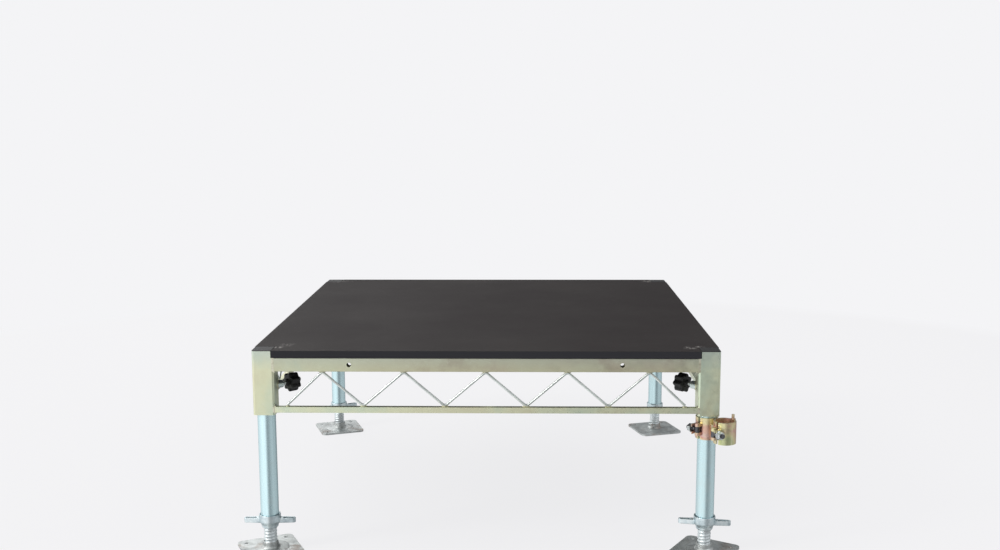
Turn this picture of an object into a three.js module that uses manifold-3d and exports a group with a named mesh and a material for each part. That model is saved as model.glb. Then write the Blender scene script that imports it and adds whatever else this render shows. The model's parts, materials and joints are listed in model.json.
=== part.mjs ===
// Portable stage riser: a notched plywood deck on a welded truss frame, with four
// clamped legs on screw jacks and a right-angle tube coupler on the front right leg.
// Millimetres, +Z up. The origin is on the floor under the middle of the frame,
// +X to the right and +Y to the back.
import * as THREE from 'three';
import { mergeVertices } from 'three/addons/utils/BufferGeometryUtils.js';
import Module from 'manifold-3d';

const wasm = await Module();
wasm.setup();

// ---- Driving dimensions ----------------------------------------------------

const GAP = 0.3;                  // between pieces that touch
const OVERCUT = 1;                // how far a cutting tool passes the face it cuts

const FRAME_SIDE = 1219.2;        // outside of the frame, 4 ft
const DECK_HEIGHT = 552;          // floor to deck surface
const DECK_THICKNESS = 19.05;
const DECK_OVERHANG = 2.2;        // past the frame, between the corners
const DECK_NOTCH = 51;            // corner cut-out, from the frame's outer faces

const POST_SIDE = 57.15;
const POST_WALL = 3.2;
const POST_CORNER = 6;
const POST_DROP = 173;            // deck surface to the post's lower end
const EAR_WIDTH = 49.8;           // outer walls left standing beside the deck
const EAR_DROP = 1.6;             // deck surface to the ears' top

const PLUG_CLEARANCE = 0.6;       // to the sides of the deck's notch
const PLUG_SKIN = 3;
const PLUG_ABOVE_LEG = 9;

const RAIL_HEIGHT = 36.5;
const RAIL_DEPTH = 25.4;
const RAIL_WALL = 2;
const RAIL_HOLE_RADIUS = 6;
const RAIL_HOLE_INSET = 254;      // from the frame's corner

const CHORD_SIDE = 15.9;
const CHORD_WALL = 1.5;
const CHORD_DROP = 166.3;         // deck surface to the chord's underside

const ROD_RADIUS = 3.175;
const ROD_WAVE = 213.4;           // length of one zigzag
const ROD_END = 520;              // from the middle of the side to the rod's end
const ROD_BEND = 9;               // radius of the bends

const STRINGER_DEPTH = 30;

const LEG_RADIUS = 24.15;
const LEG_WALL = 3.2;
const LEG_BOTTOM = 96;
const LEG_TOP = 490;

const STEM_RADIUS = 17.45;
const STEM_WALL = 5;
const STEM_TOP = 386;
const PLATE_SIDE = 152.4;
const PLATE_THICKNESS = 6;
const PLATE_CORNER = 16;
const PLATE_HOLE_RADIUS = 5;
const PLATE_HOLE_OFFSET = 54;     // from the middle, along both sides
const COLLAR_RADIUS = 21;
const COLLAR_HEIGHT = 19;

const NUT_CLEARANCE = 0.4;
const NUT_BOTTOM = 64.5;
const NUT_RIM = 101;
const NUT_RIM_RADIUS = 28.8;
const WING_REACH = 69;            // from the stem's axis to the wing's tip
const WING_ROOT = 9;              // half widths, where the wing starts and at its end
const WING_END = 6.5;
const WING_HEIGHT = 13;
const WING_CENTRE = 83;

const LOCK_HEIGHT = 449;          // the clamp stud's axis
const STUD_RADIUS = 4.75;
const STUD_CLEARANCE = 0.35;
const BOSS_RADIUS = 10.5;
const BOSS_START = 28;            // distances along the stud, from the leg's axis
const BOSS_END = 51;
const KNOB_HUB = 61;
const KNOB_FACE = 68;
const STUD_END = 80;
const KNOB_END = 97;
const HUB_RADIUS = 10;
const KNOB_RADIUS = 22.8;
const KNOB_LOBE = 2.8;
const KNOB_LOBES = 7;
const KNOB_LOBE_POINTS = 5;

const COUPLER_HEIGHT = DECK_HEIGHT - 207.5;
const COUPLER_ANGLE = -0.28 * Math.PI;
const COUPLER_WIDTH = 58;
const COUPLER_PLATE = 5;
const COUPLER_REACH = 61;         // leg axis to arm axis
const COUPLER_HINGE = 32;         // tube axis to hinge pin
const COUPLER_BOLT = 39.5;        // tube axis to swing bolt
const COUPLER_PIN_RADIUS = 4;
const COUPLER_RIVET_RADIUS = 7;
const LEG_PIN_PROUD = 2;          // a hinge pin's end past the bands
const ARM_PIN_PROUD = 11.5;

// The pieces at each corner: which way the corner lies, how far its base plate is
// turned, and which way its jack nut's wings point, in degrees.
const CORNERS = [
  { name: 'fl', x: -1, y: -1, plateTurn: 26, wingTurn: 1 },
  { name: 'fr', x: 1, y: -1, plateTurn: -31, wingTurn: -8 },
  { name: 'bl', x: -1, y: 1, plateTurn: 20.5, wingTurn: 27 },
  { name: 'br', x: 1, y: 1, plateTurn: 17, wingTurn: 84 },
];

// The four sides, each turned from the front one, which faces -Y.
const SIDES = [
  { name: 'front', turn: 0 },
  { name: 'right', turn: Math.PI / 2 },
  { name: 'back', turn: Math.PI },
  { name: 'left', turn: -Math.PI / 2 },
];

// ---- Derived sizes ---------------------------------------------------------

const HALF_SIDE = FRAME_SIDE / 2;
const POST_CENTRE = HALF_SIDE - POST_SIDE / 2;
const POST_BOTTOM = DECK_HEIGHT - POST_DROP;
const EAR_TOP = DECK_HEIGHT - EAR_DROP;
const DECK_BOTTOM = DECK_HEIGHT - DECK_THICKNESS;
const RAIL_TOP = DECK_BOTTOM - GAP;
const RAIL_BOTTOM = RAIL_TOP - RAIL_HEIGHT;
const RAIL_LENGTH = FRAME_SIDE - 2 * POST_SIDE - 2 * GAP;
const CHORD_BOTTOM = DECK_HEIGHT - CHORD_DROP;
const CHORD_TOP = CHORD_BOTTOM + CHORD_SIDE;

// ---- Materials -------------------------------------------------------------

const finish = (color, roughness, metalness) =>
  new THREE.MeshStandardMaterial({ color, roughness, metalness });
const yellowZinc = finish(0xc9cbaa, 0.35, 0.9);
const couplerZinc = finish(0xc9a45c, 0.35, 0.9);
const blueZinc = finish(0xb4cdd2, 0.3, 0.9);
const dullZinc = finish(0x9aa2a2, 0.5, 0.85);
const deckFilm = finish(0x3e3a39, 0.6, 0);
const blackPlastic = finish(0x17181a, 0.5, 0);

// ---- Solids ----------------------------------------------------------------

// A closed three.js geometry as a solid that can be joined and cut.
function solid(geometry) {
  const bare = geometry.index ? geometry.toNonIndexed() : geometry.clone();
  bare.deleteAttribute('normal');
  bare.deleteAttribute('uv');
  const merged = mergeVertices(bare, 1e-4);
  return new wasm.Manifold(new wasm.Mesh({
    numProp: 3,
    vertProperties: new Float32Array(merged.attributes.position.array),
    triVerts: new Uint32Array(merged.index.array),
  }));
}

function geometryOf(manifold) {
  const mesh = manifold.getMesh();
  const geometry = new THREE.BufferGeometry();
  geometry.setAttribute('position', new THREE.Float32BufferAttribute(mesh.vertProperties, 3));
  geometry.setIndex(new THREE.Uint32BufferAttribute(mesh.triVerts, 1));
  geometry.computeVertexNormals();
  return geometry;
}

const join = (...pieces) => geometryOf(pieces.map(solid).reduce((a, b) => a.add(b)));

function cut(body, ...tools) {
  return geometryOf(tools.map(solid).reduce((a, b) => a.subtract(b), solid(body)));
}

function box(width, depth, height, x = 0, y = 0, z = 0) {
  return new THREE.BoxGeometry(width, depth, height).translate(x, y, z);
}

// A box from its lowest and highest corners.
function span([x0, y0, z0], [x1, y1, z1]) {
  return box(x1 - x0, y1 - y0, z1 - z0, (x0 + x1) / 2, (y0 + y1) / 2, (z0 + z1) / 2);
}

// A shape drawn in X and Y, raised from one height to another.
function raise(shape, low, high, steps = 3) {
  const options = { depth: high - low, bevelEnabled: false, curveSegments: steps };
  return new THREE.ExtrudeGeometry(shape, options).translate(0, 0, low);
}

function disc(radius, low, high, segments = 20) {
  return new THREE.CylinderGeometry(radius, radius, high - low, segments)
    .rotateX(Math.PI / 2)
    .translate(0, 0, (low + high) / 2);
}

function roundedSquare(side, corner, path = new THREE.Shape()) {
  const h = side / 2;
  const flat = h - corner;
  path.moveTo(h, -flat);
  path.lineTo(h, flat);
  path.absarc(flat, flat, corner, 0, Math.PI / 2);
  path.lineTo(-flat, h);
  path.absarc(-flat, flat, corner, Math.PI / 2, Math.PI);
  path.lineTo(-h, -flat);
  path.absarc(-flat, -flat, corner, Math.PI, 1.5 * Math.PI);
  path.lineTo(flat, -h);
  path.absarc(flat, -flat, corner, 1.5 * Math.PI, 2 * Math.PI);
  return path;
}

function rectangle(width, height, path = new THREE.Shape()) {
  path.moveTo(-width / 2, -height / 2);
  path.lineTo(width / 2, -height / 2);
  path.lineTo(width / 2, height / 2);
  path.lineTo(-width / 2, height / 2);
  path.closePath();
  return path;
}

function pipe(outer, inner, low, high, segments = 20) {
  const profile = [[outer, low], [outer, high], [inner, high], [inner, low], [outer, low]];
  const points = profile.map(([r, z]) => new THREE.Vector2(r, z));
  return new THREE.LatheGeometry(points, segments).rotateX(Math.PI / 2);
}

// A rectangular tube along X, centred on the origin.
function tubeAlongX(length, depth, height, wall) {
  const shape = rectangle(depth, height);
  shape.holes.push(rectangle(depth - 2 * wall, height - 2 * wall, new THREE.Path()));
  return raise(shape, -length / 2, length / 2)
    .rotateX(Math.PI / 2)
    .rotateZ(Math.PI / 2);
}

const stage = new THREE.Group();

function place(name, geometry, material, group = stage) {
  const mesh = new THREE.Mesh(geometry, material);
  mesh.name = name;
  group.add(mesh);
  return mesh;
}

// ---- Frame -----------------------------------------------------------------

// A post for the corner at +X +Y, with its axis at the origin: its inner walls stop
// under the deck and its two outer walls stand up beside it.
function postGeometry() {
  const shape = roundedSquare(POST_SIDE, POST_CORNER);
  const innerSide = POST_SIDE - 2 * POST_WALL;
  shape.holes.push(roundedSquare(innerSide, POST_CORNER - POST_WALL, new THREE.Path()));
  const tube = raise(shape, POST_BOTTOM, EAR_TOP);
  const outside = POST_SIDE / 2;
  const earEdge = outside - EAR_WIDTH;
  const above = EAR_TOP + OVERCUT;
  const clear = outside + OVERCUT;
  const besideX = span([-clear, -clear, RAIL_TOP], [earEdge, clear, above]);
  const besideY = span([-clear, -clear, RAIL_TOP], [clear, earEdge, above]);
  const studHole = disc(STUD_RADIUS + STUD_CLEARANCE, 0, POST_SIDE, 8)
    .rotateX(Math.PI / 2)
    .rotateZ(-Math.PI / 4)
    .translate(0, 0, LOCK_HEIGHT);
  return cut(tube, besideX, besideY, studHole);
}

// A plug for the same corner: a skirt in the post's bore, a block in the deck's
// notch, and a thin lip over the ears.
function plugGeometry() {
  const outside = POST_SIDE / 2;
  const inner = outside - (DECK_NOTCH - PLUG_CLEARANCE);
  const skirtBottom = LEG_TOP + PLUG_ABOVE_LEG;
  const skirtSide = POST_SIDE - 2 * POST_WALL - 2 * GAP;
  const lipBottom = EAR_TOP + GAP;
  const reach = outside + OVERCUT;
  const above = DECK_HEIGHT + OVERCUT;
  const core = raise(roundedSquare(skirtSide, POST_CORNER - POST_WALL), skirtBottom, DECK_HEIGHT);
  const lip = raise(roundedSquare(POST_SIDE, POST_CORNER), lipBottom, DECK_HEIGHT);
  const underDeckX = span([-reach, -reach, RAIL_TOP], [inner, reach, above]);
  const underDeckY = span([-reach, -reach, RAIL_TOP], [reach, inner, above]);
  const hollow = disc(
    skirtSide / 2 - PLUG_SKIN, skirtBottom - OVERCUT, RAIL_TOP - PLUG_SKIN, 16,
  );
  return cut(join(core, lip), underDeckX, underDeckY, hollow);
}

// A top rail along X with its outer face at y = 0 and its middle at x = 0.
function railGeometry() {
  const middle = (RAIL_TOP + RAIL_BOTTOM) / 2;
  const rail = tubeAlongX(RAIL_LENGTH, RAIL_DEPTH, RAIL_HEIGHT, RAIL_WALL)
    .translate(0, RAIL_DEPTH / 2, middle);
  const holes = [-1, 1].map((side) => disc(RAIL_HOLE_RADIUS, -OVERCUT, RAIL_DEPTH + OVERCUT, 12)
    .rotateX(-Math.PI / 2)
    .translate(side * (HALF_SIDE - RAIL_HOLE_INSET), 0, middle));
  return cut(rail, ...holes);
}

function chordGeometry() {
  return tubeAlongX(RAIL_LENGTH, CHORD_SIDE, CHORD_SIDE, CHORD_WALL)
    .translate(0, CHORD_SIDE / 2, (CHORD_TOP + CHORD_BOTTOM) / 2);
}

// A truss rod along X: a zigzag with rounded bends, its bends just clear of the rail
// and the chord.
function rodGeometry() {
  const top = RAIL_BOTTOM - ROD_RADIUS - GAP;
  const bottom = CHORD_TOP + ROD_RADIUS + GAP;
  const climb = Math.atan2(top - bottom, ROD_WAVE / 2);
  const sharper = 0.5 * ROD_BEND * Math.sin(climb);
  const corners = [[-ROD_END, bottom]];
  for (let k = -2; k <= 2; k += 1) {
    corners.push([k * ROD_WAVE, top + sharper]);
    if (k < 2) corners.push([(k + 0.5) * ROD_WAVE, bottom - sharper]);
  }
  corners.push([ROD_END, bottom]);
  const at = ([x, z]) => new THREE.Vector3(x, CHORD_SIDE / 2, z);
  const path = new THREE.CurvePath();
  let from = at(corners[0]);
  for (let i = 1; i < corners.length - 1; i += 1) {
    const bend = at(corners[i]);
    const before = at(corners[i - 1]).sub(bend).setLength(ROD_BEND).add(bend);
    const after = at(corners[i + 1]).sub(bend).setLength(ROD_BEND).add(bend);
    path.add(new THREE.LineCurve3(from, before));
    path.add(new THREE.QuadraticBezierCurve3(before, bend, after));
    from = after;
  }
  path.add(new THREE.LineCurve3(from, at(corners.at(-1))));
  return sweep(path, ROD_RADIUS, 6);
}

// A round bar along a path of lines and bends, with one section at each end of a line
// and three along each bend. Extrusion steps fall evenly along a curve, so the path is
// handed over as a curve that passes through exactly those stations.
function sweep(path, radius, sides) {
  const stations = [path.curves[0].getPoint(0)];
  for (const curve of path.curves) {
    const steps = curve.isQuadraticBezierCurve3 ? 3 : 1;
    for (let i = 1; i <= steps; i += 1) stations.push(curve.getPoint(i / steps));
  }
  const last = stations.length - 1;
  const polyline = new THREE.Curve();
  polyline.getPoint = (t) => {
    const index = Math.min(Math.round(t * last), last);
    return stations[index].clone();
  };
  polyline.getPointAt = polyline.getPoint;
  polyline.getTangent = (t) => {
    const index = Math.min(Math.round(t * last), last);
    const ahead = stations[Math.min(index + 1, last)];
    const behind = stations[Math.max(index - 1, 0)];
    return ahead.clone().sub(behind).normalize();
  };
  polyline.getTangentAt = polyline.getTangent;
  const section = new THREE.Shape();
  for (let i = 0; i < sides; i += 1) {
    const angle = (2 * Math.PI * i) / sides;
    const x = radius * Math.cos(angle);
    const y = radius * Math.sin(angle);
    if (i) section.lineTo(x, y);
    else section.moveTo(x, y);
  }
  section.closePath();
  return new THREE.ExtrudeGeometry(section, { steps: last, extrudePath: polyline });
}

function deckGeometry() {
  const edge = HALF_SIDE + DECK_OVERHANG;
  const notch = HALF_SIDE - DECK_NOTCH;
  const shape = new THREE.Shape();
  shape.moveTo(notch, -edge);
  const corners = [[1, -1], [1, 1], [-1, 1], [-1, -1]];
  for (const [x, y] of corners) {
    const first = x * y < 0 ? [notch * x, edge * y] : [edge * x, notch * y];
    const last = x * y < 0 ? [edge * x, notch * y] : [notch * x, edge * y];
    shape.lineTo(...first);
    shape.lineTo(notch * x, notch * y);
    shape.lineTo(...last);
  }
  shape.closePath();
  return raise(shape, DECK_BOTTOM, DECK_HEIGHT);
}

for (const { name, turn } of SIDES) {
  const side = new THREE.Group();
  side.rotation.z = turn;
  const outer = new THREE.Group();
  outer.position.y = -HALF_SIDE;
  side.add(outer);
  stage.add(side);
  place(`top_rail_${name}`, railGeometry(), yellowZinc, outer);
  place(`bottom_chord_${name}`, chordGeometry(), yellowZinc, outer);
  place(`truss_rod_${name}`, rodGeometry(), blueZinc, outer);
}

place('deck_panel', deckGeometry(), deckFilm);

// The stringer crosses under the middle of the deck, from the front rail to the back.
const stringerLength = FRAME_SIDE - 2 * (RAIL_DEPTH + GAP);
const stringer = tubeAlongX(stringerLength, RAIL_DEPTH, STRINGER_DEPTH, RAIL_WALL)
  .rotateZ(Math.PI / 2)
  .translate(0, 0, RAIL_TOP - STRINGER_DEPTH / 2);
place('deck_stringer', stringer, yellowZinc);

// ---- Legs ------------------------------------------------------------------

// Pieces on a clamp stud's axis are made along +Z from the leg's axis, then laid
// along +X.
const alongX = (geometry) => geometry.rotateY(Math.PI / 2);

// The threaded boss, coped over the post's rounded inner corner.
function bossGeometry() {
  const outer = disc(BOSS_RADIUS, BOSS_START, BOSS_END, 16);
  const bore = disc(STUD_RADIUS + STUD_CLEARANCE, BOSS_START - OVERCUT, BOSS_END + OVERCUT, 8);
  const boss = alongX(cut(outer, bore));
  const above = BOSS_RADIUS + OVERCUT;
  const post = raise(roundedSquare(POST_SIDE + 2 * GAP, POST_CORNER + GAP), -above, above)
    .rotateZ(Math.PI / 4);
  return cut(boss, post);
}

function studGeometry() {
  return alongX(disc(STUD_RADIUS, LEG_RADIUS + GAP, STUD_END, 8));
}

function knobGeometry() {
  const star = new THREE.Shape();
  const points = KNOB_LOBES * KNOB_LOBE_POINTS;
  for (let i = 0; i < points; i += 1) {
    const angle = (2 * Math.PI * i) / points;
    const radius = KNOB_RADIUS + KNOB_LOBE * Math.cos(KNOB_LOBES * angle);
    const x = radius * Math.cos(angle);
    const y = radius * Math.sin(angle);
    if (i) star.lineTo(x, y);
    else star.moveTo(x, y);
  }
  star.closePath();
  const body = raise(star, KNOB_FACE, KNOB_END);
  const hub = disc(HUB_RADIUS, KNOB_HUB, KNOB_FACE + OVERCUT, 12);
  const socket = disc(STUD_RADIUS + GAP, KNOB_HUB - OVERCUT, STUD_END + GAP, 16);
  return alongX(cut(join(body, hub), socket));
}

function plateGeometry() {
  const plate = raise(roundedSquare(PLATE_SIDE, PLATE_CORNER), 0, PLATE_THICKNESS, 4);
  const bore = STEM_RADIUS + GAP;
  const collar = pipe(COLLAR_RADIUS, bore, PLATE_THICKNESS / 2, PLATE_THICKNESS + COLLAR_HEIGHT);
  const seat = disc(bore, PLATE_THICKNESS, PLATE_THICKNESS + COLLAR_HEIGHT);
  const holes = [[-1, -1], [1, -1], [1, 1], [-1, 1]].map(([x, y]) => disc(
    PLATE_HOLE_RADIUS, -OVERCUT, PLATE_THICKNESS + OVERCUT, 8,
  ).translate(x * PLATE_HOLE_OFFSET, y * PLATE_HOLE_OFFSET, 0));
  return cut(join(plate, collar), seat, ...holes);
}

// A cast nut: a cup under the leg's end, a tapering body, and two wings along X.
function jackNutGeometry() {
  const bore = STEM_RADIUS + NUT_CLEARANCE;
  const cup = LEG_RADIUS + 1;
  const seat = LEG_BOTTOM - GAP;
  const profile = [
    [bore, NUT_BOTTOM], [bore + 4, NUT_BOTTOM], [bore + 5, NUT_BOTTOM + 6],
    [NUT_RIM_RADIUS, NUT_BOTTOM + 16], [NUT_RIM_RADIUS, NUT_RIM], [cup, NUT_RIM],
    [cup, seat], [bore, seat], [bore, NUT_BOTTOM],
  ].map(([r, z]) => new THREE.Vector2(r, z));
  const body = new THREE.LatheGeometry(profile, 20).rotateX(Math.PI / 2);
  const root = (cup + NUT_RIM_RADIUS) / 2;
  const wing = new THREE.Shape();
  wing.moveTo(root, -WING_ROOT);
  wing.absarc(WING_REACH - WING_END, 0, WING_END, -Math.PI / 2, Math.PI / 2);
  wing.lineTo(root, WING_ROOT);
  wing.closePath();
  const low = WING_CENTRE - WING_HEIGHT / 2;
  const right = raise(wing, low, low + WING_HEIGHT);
  const left = right.clone().rotateZ(Math.PI);
  return join(body, right, left);
}

const postGroup = (corner) => {
  const group = new THREE.Group();
  group.position.set(corner.x * POST_CENTRE, corner.y * POST_CENTRE, 0);
  stage.add(group);
  return group;
};

for (const corner of CORNERS) {
  const { name, x, y } = corner;
  const group = postGroup(corner);
  // The post and plug are drawn for the +X +Y corner; a quarter turn takes them on.
  const outward = Math.atan2(y, x) - Math.PI / 4;
  place(`corner_post_${name}`, postGeometry(), yellowZinc, group).rotation.z = outward;
  place(`corner_plug_${name}`, plugGeometry(), blackPlastic, group).rotation.z = outward;

  const clamp = new THREE.Group();
  clamp.position.z = LOCK_HEIGHT;
  clamp.rotation.z = Math.atan2(-y, -x);
  group.add(clamp);
  place(`lock_boss_${name}`, bossGeometry(), blueZinc, clamp);
  place(`lock_stud_${name}`, studGeometry(), blueZinc, clamp);
  place(`lock_knob_${name}`, knobGeometry(), blackPlastic, clamp);

  const leg = pipe(LEG_RADIUS, LEG_RADIUS - LEG_WALL, LEG_BOTTOM, LEG_TOP);
  place(`leg_tube_${name}`, leg, blueZinc, group);
  const stem = pipe(STEM_RADIUS, STEM_RADIUS - STEM_WALL, PLATE_THICKNESS + GAP, STEM_TOP);
  place(`jack_stem_${name}`, stem, dullZinc, group);
  const plate = place(`base_plate_${name}`, plateGeometry(), dullZinc, group);
  plate.rotation.z = THREE.MathUtils.degToRad(corner.plateTurn);
  const nut = place(`jack_nut_${name}`, jackNutGeometry(), blueZinc, group);
  nut.rotation.z = THREE.MathUtils.degToRad(corner.wingTurn);
}

// ---- Coupler ---------------------------------------------------------------

// Each half is drawn with its tube's axis along Z, its back (where the rivet is)
// towards +X and its swing bolt at +Y.
const PLATE_INSIDE = LEG_RADIUS + 0.4;
const PLATE_OUTSIDE = PLATE_INSIDE + COUPLER_PLATE;
const BOLT_PIVOT = 3;             // the swing bolt's pin, towards the back
const EYE_HALF = 8;               // half the width of the middle eye of each hinge
const EYE_RADIUS = 7;
const CHEEK_OUTER = 16;
const BOLT_RADIUS = 6;
const BACK_HALF = 14;             // half the side of the block behind the band
const FORK_FACE = -13;            // the fork's outer face, where the nut seats
const FORK_PLATE = 6;
const FORK_HALF = 13;
const FORK_TIP = 11;              // past the bolt's axis
const SLOT_HALF = BOLT_RADIUS + 0.7;
const BAND_SEGMENTS = 9;
const NUT_FACE = FORK_FACE - 0.6;
const NUT_DEPTH = 12;
const NUT_HEXAGON = 11;           // to the corners
const NUT_FLANGE = 12;
const NUT_FLANGE_DEPTH = 3;
const BOLT_END = -31;

const degrees = THREE.MathUtils.degToRad;
const SADDLE_EDGE = degrees(84);  // from the middle of the back
const FLAP_START = degrees(97);
const FLAP_END = degrees(263);

function arcBand(from, to) {
  const shape = new THREE.Shape();
  shape.absarc(0, 0, PLATE_OUTSIDE, from, to, false);
  shape.absarc(0, 0, PLATE_INSIDE, to, from, true);
  shape.closePath();
  return shape;
}

const eye = (radius, y, low, high, x = 0) => disc(radius, low, high, 12).translate(x, y, 0);

// The saddle: half a band with the middle eye of the hinge, and two cheeks for the
// swing bolt, each with its pin fixed through it.
function saddleGeometry(pinProud) {
  const half = COUPLER_WIDTH / 2;
  const band = raise(arcBand(-SADDLE_EDGE, SADDLE_EDGE), -half, half, BAND_SEGMENTS);
  const flapEyes = [[-half - 1, -EYE_HALF], [EYE_HALF, half + 1]].map(
    ([low, high]) => eye(EYE_RADIUS + GAP, -COUPLER_HINGE, low, high),
  );
  const middle = EYE_HALF - GAP;
  const parts = [
    cut(band, ...flapEyes),
    span(
      [PLATE_INSIDE + COUPLER_PLATE / 2, -BACK_HALF, -BACK_HALF],
      [(COUPLER_REACH - GAP) / 2, BACK_HALF, BACK_HALF],
    ),
    eye(EYE_RADIUS, -COUPLER_HINGE, -middle, middle),
    span([0, -COUPLER_HINGE, -middle], [EYE_RADIUS, -PLATE_INSIDE - 1, middle]),
    eye(COUPLER_PIN_RADIUS, -COUPLER_HINGE, -half - LEG_PIN_PROUD, half + pinProud),
    eye(COUPLER_PIN_RADIUS, COUPLER_BOLT, -CHEEK_OUTER - 1, CHEEK_OUTER + 1, BOLT_PIVOT),
  ];
  for (const [low, high] of [[-CHEEK_OUTER, -EYE_HALF], [EYE_HALF, CHEEK_OUTER]]) {
    parts.push(eye(EYE_RADIUS, COUPLER_BOLT, low, high, BOLT_PIVOT));
    parts.push(span([1, PLATE_INSIDE + 1, low], [BOLT_PIVOT + EYE_RADIUS, COUPLER_BOLT, high]));
  }
  const rivetHole = alongX(disc(COUPLER_RIVET_RADIUS + GAP, 10, COUPLER_REACH, 12));
  return cut(join(...parts), rivetHole);
}

// The fork's section. Past the bolt its outer face follows a circle about the bolt's
// pin, so that the nut stays clear of it as the bolt swings out.
function forkOutline() {
  const reach = BOLT_PIVOT - FORK_FACE;
  const turn = Math.asin(FORK_TIP / reach);
  const back = FORK_FACE + FORK_PLATE;
  const shape = new THREE.Shape();
  shape.moveTo(back, PLATE_INSIDE - 0.5);
  shape.lineTo(back, COUPLER_BOLT + FORK_TIP);
  shape.absarc(BOLT_PIVOT, COUPLER_BOLT, reach, Math.PI - turn, Math.PI, false);
  shape.lineTo(FORK_FACE, PLATE_INSIDE - 0.5);
  shape.closePath();
  return shape;
}

// The flap: the other half band, two outer eyes on the hinge pin, and a forked end
// that takes the swing bolt.
function flapGeometry() {
  const half = COUPLER_WIDTH / 2;
  const band = raise(arcBand(FLAP_START, FLAP_END), -half, half, BAND_SEGMENTS);
  const parts = [band];
  for (const [low, high] of [[-half, -EYE_HALF], [EYE_HALF, half]]) {
    parts.push(eye(EYE_RADIUS, -COUPLER_HINGE, low, high));
    parts.push(span([-8, -COUPLER_HINGE, low], [-1, -PLATE_INSIDE - 1, high]));
  }
  parts.push(raise(forkOutline(), -FORK_HALF, FORK_HALF));
  const slot = span(
    [2 * FORK_FACE, COUPLER_BOLT - EYE_RADIUS, -SLOT_HALF],
    [BOLT_PIVOT, COUPLER_BOLT + 2 * FORK_TIP, SLOT_HALF],
  );
  const pinHole = eye(COUPLER_PIN_RADIUS + GAP, -COUPLER_HINGE, -half - 5, half + 5);
  const saddleEye = eye(EYE_RADIUS + GAP, -COUPLER_HINGE, -EYE_HALF, EYE_HALF);
  return cut(join(...parts), slot, pinHole, saddleEye);
}

function swingBoltGeometry() {
  const wide = EYE_HALF - 0.4;
  const ring = eye(EYE_RADIUS, COUPLER_BOLT, -wide, wide, BOLT_PIVOT);
  const shank = disc(BOLT_RADIUS, BOLT_END, 0, 12)
    .rotateY(Math.PI / 2)
    .translate(0, COUPLER_BOLT, 0);
  const hole = eye(COUPLER_PIN_RADIUS + GAP, COUPLER_BOLT, -EYE_HALF, EYE_HALF, BOLT_PIVOT);
  return cut(join(ring, shank), hole);
}

function swingNutGeometry() {
  const flange = disc(NUT_FLANGE, NUT_FACE - NUT_FLANGE_DEPTH, NUT_FACE, 16);
  const hexagon = disc(NUT_HEXAGON, NUT_FACE - NUT_DEPTH, NUT_FACE - 2, 6);
  const bore = disc(BOLT_RADIUS + GAP, NUT_FACE - NUT_DEPTH - 1, NUT_FACE + 1, 12);
  return cut(join(flange, hexagon), bore)
    .rotateY(Math.PI / 2)
    .translate(0, COUPLER_BOLT, 0);
}

const coupler = new THREE.Group();
coupler.position.set(POST_CENTRE, -POST_CENTRE, COUPLER_HEIGHT);
coupler.rotation.z = COUPLER_ANGLE;
stage.add(coupler);

// The leg half is turned over so that its bolt is on the outer side of the corner.
const legHalf = new THREE.Group();
legHalf.rotation.x = Math.PI;
coupler.add(legHalf);

// The arm half swivels on the rivet; here it is upright too, and opens outwards.
const armHalf = new THREE.Group();
armHalf.position.x = COUPLER_REACH;
armHalf.rotation.z = Math.PI;
coupler.add(armHalf);

for (const [name, half, pinProud] of [
  ['leg', legHalf, LEG_PIN_PROUD],
  ['arm', armHalf, ARM_PIN_PROUD],
]) {
  place(`coupler_${name}_saddle`, saddleGeometry(pinProud), couplerZinc, half);
  place(`coupler_${name}_flap`, flapGeometry(), couplerZinc, half);
  place(`coupler_${name}_bolt`, swingBoltGeometry(), dullZinc, half);
  place(`coupler_${name}_nut`, swingNutGeometry(), dullZinc, half);
}

const rivetEnd = PLATE_INSIDE + 1;
const rivet = alongX(disc(COUPLER_RIVET_RADIUS, rivetEnd, COUPLER_REACH - rivetEnd, 12));
place('coupler_rivet', rivet, couplerZinc, coupler);

export default stage;
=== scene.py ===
"""A portable stage riser: smooth pieces, finishes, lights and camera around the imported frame.

Metres, in the frame's own axes: +X right, +Y back, +Z up, the floor at z = 0.
"""
import json
import math

import bmesh
import bpy
from mathutils import Matrix, Vector, noise


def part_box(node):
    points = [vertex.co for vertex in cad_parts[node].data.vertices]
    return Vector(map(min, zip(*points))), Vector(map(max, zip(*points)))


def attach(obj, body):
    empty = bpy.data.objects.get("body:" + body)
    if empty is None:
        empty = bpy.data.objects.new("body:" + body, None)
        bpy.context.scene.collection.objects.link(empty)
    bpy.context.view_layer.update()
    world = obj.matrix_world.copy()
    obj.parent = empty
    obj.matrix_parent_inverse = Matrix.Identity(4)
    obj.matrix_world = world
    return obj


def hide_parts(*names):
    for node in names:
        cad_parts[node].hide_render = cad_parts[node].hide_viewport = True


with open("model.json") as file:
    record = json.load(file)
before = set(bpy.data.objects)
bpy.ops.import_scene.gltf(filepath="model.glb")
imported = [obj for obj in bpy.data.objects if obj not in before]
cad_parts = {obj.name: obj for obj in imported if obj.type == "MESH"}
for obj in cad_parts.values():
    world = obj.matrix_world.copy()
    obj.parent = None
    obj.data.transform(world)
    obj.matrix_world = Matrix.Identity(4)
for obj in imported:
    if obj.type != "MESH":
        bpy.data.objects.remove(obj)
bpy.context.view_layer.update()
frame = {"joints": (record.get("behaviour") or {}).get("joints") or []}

MM = 0.001
TAU = 2 * math.pi

CORNERS = {"fl": (-1, -1), "fr": (1, -1), "bl": (-1, 1), "br": (1, 1)}
SQUARE = ((-1, -1), (1, -1), (1, 1), (-1, 1))
SIDES = {"front": 0.0, "right": TAU / 4, "back": TAU / 2, "left": -TAU / 4}

# ---- Sizes, from the frame where it has them ---------------------------------

JOINTS = {joint["name"]: joint for joint in frame["joints"]}

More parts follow.
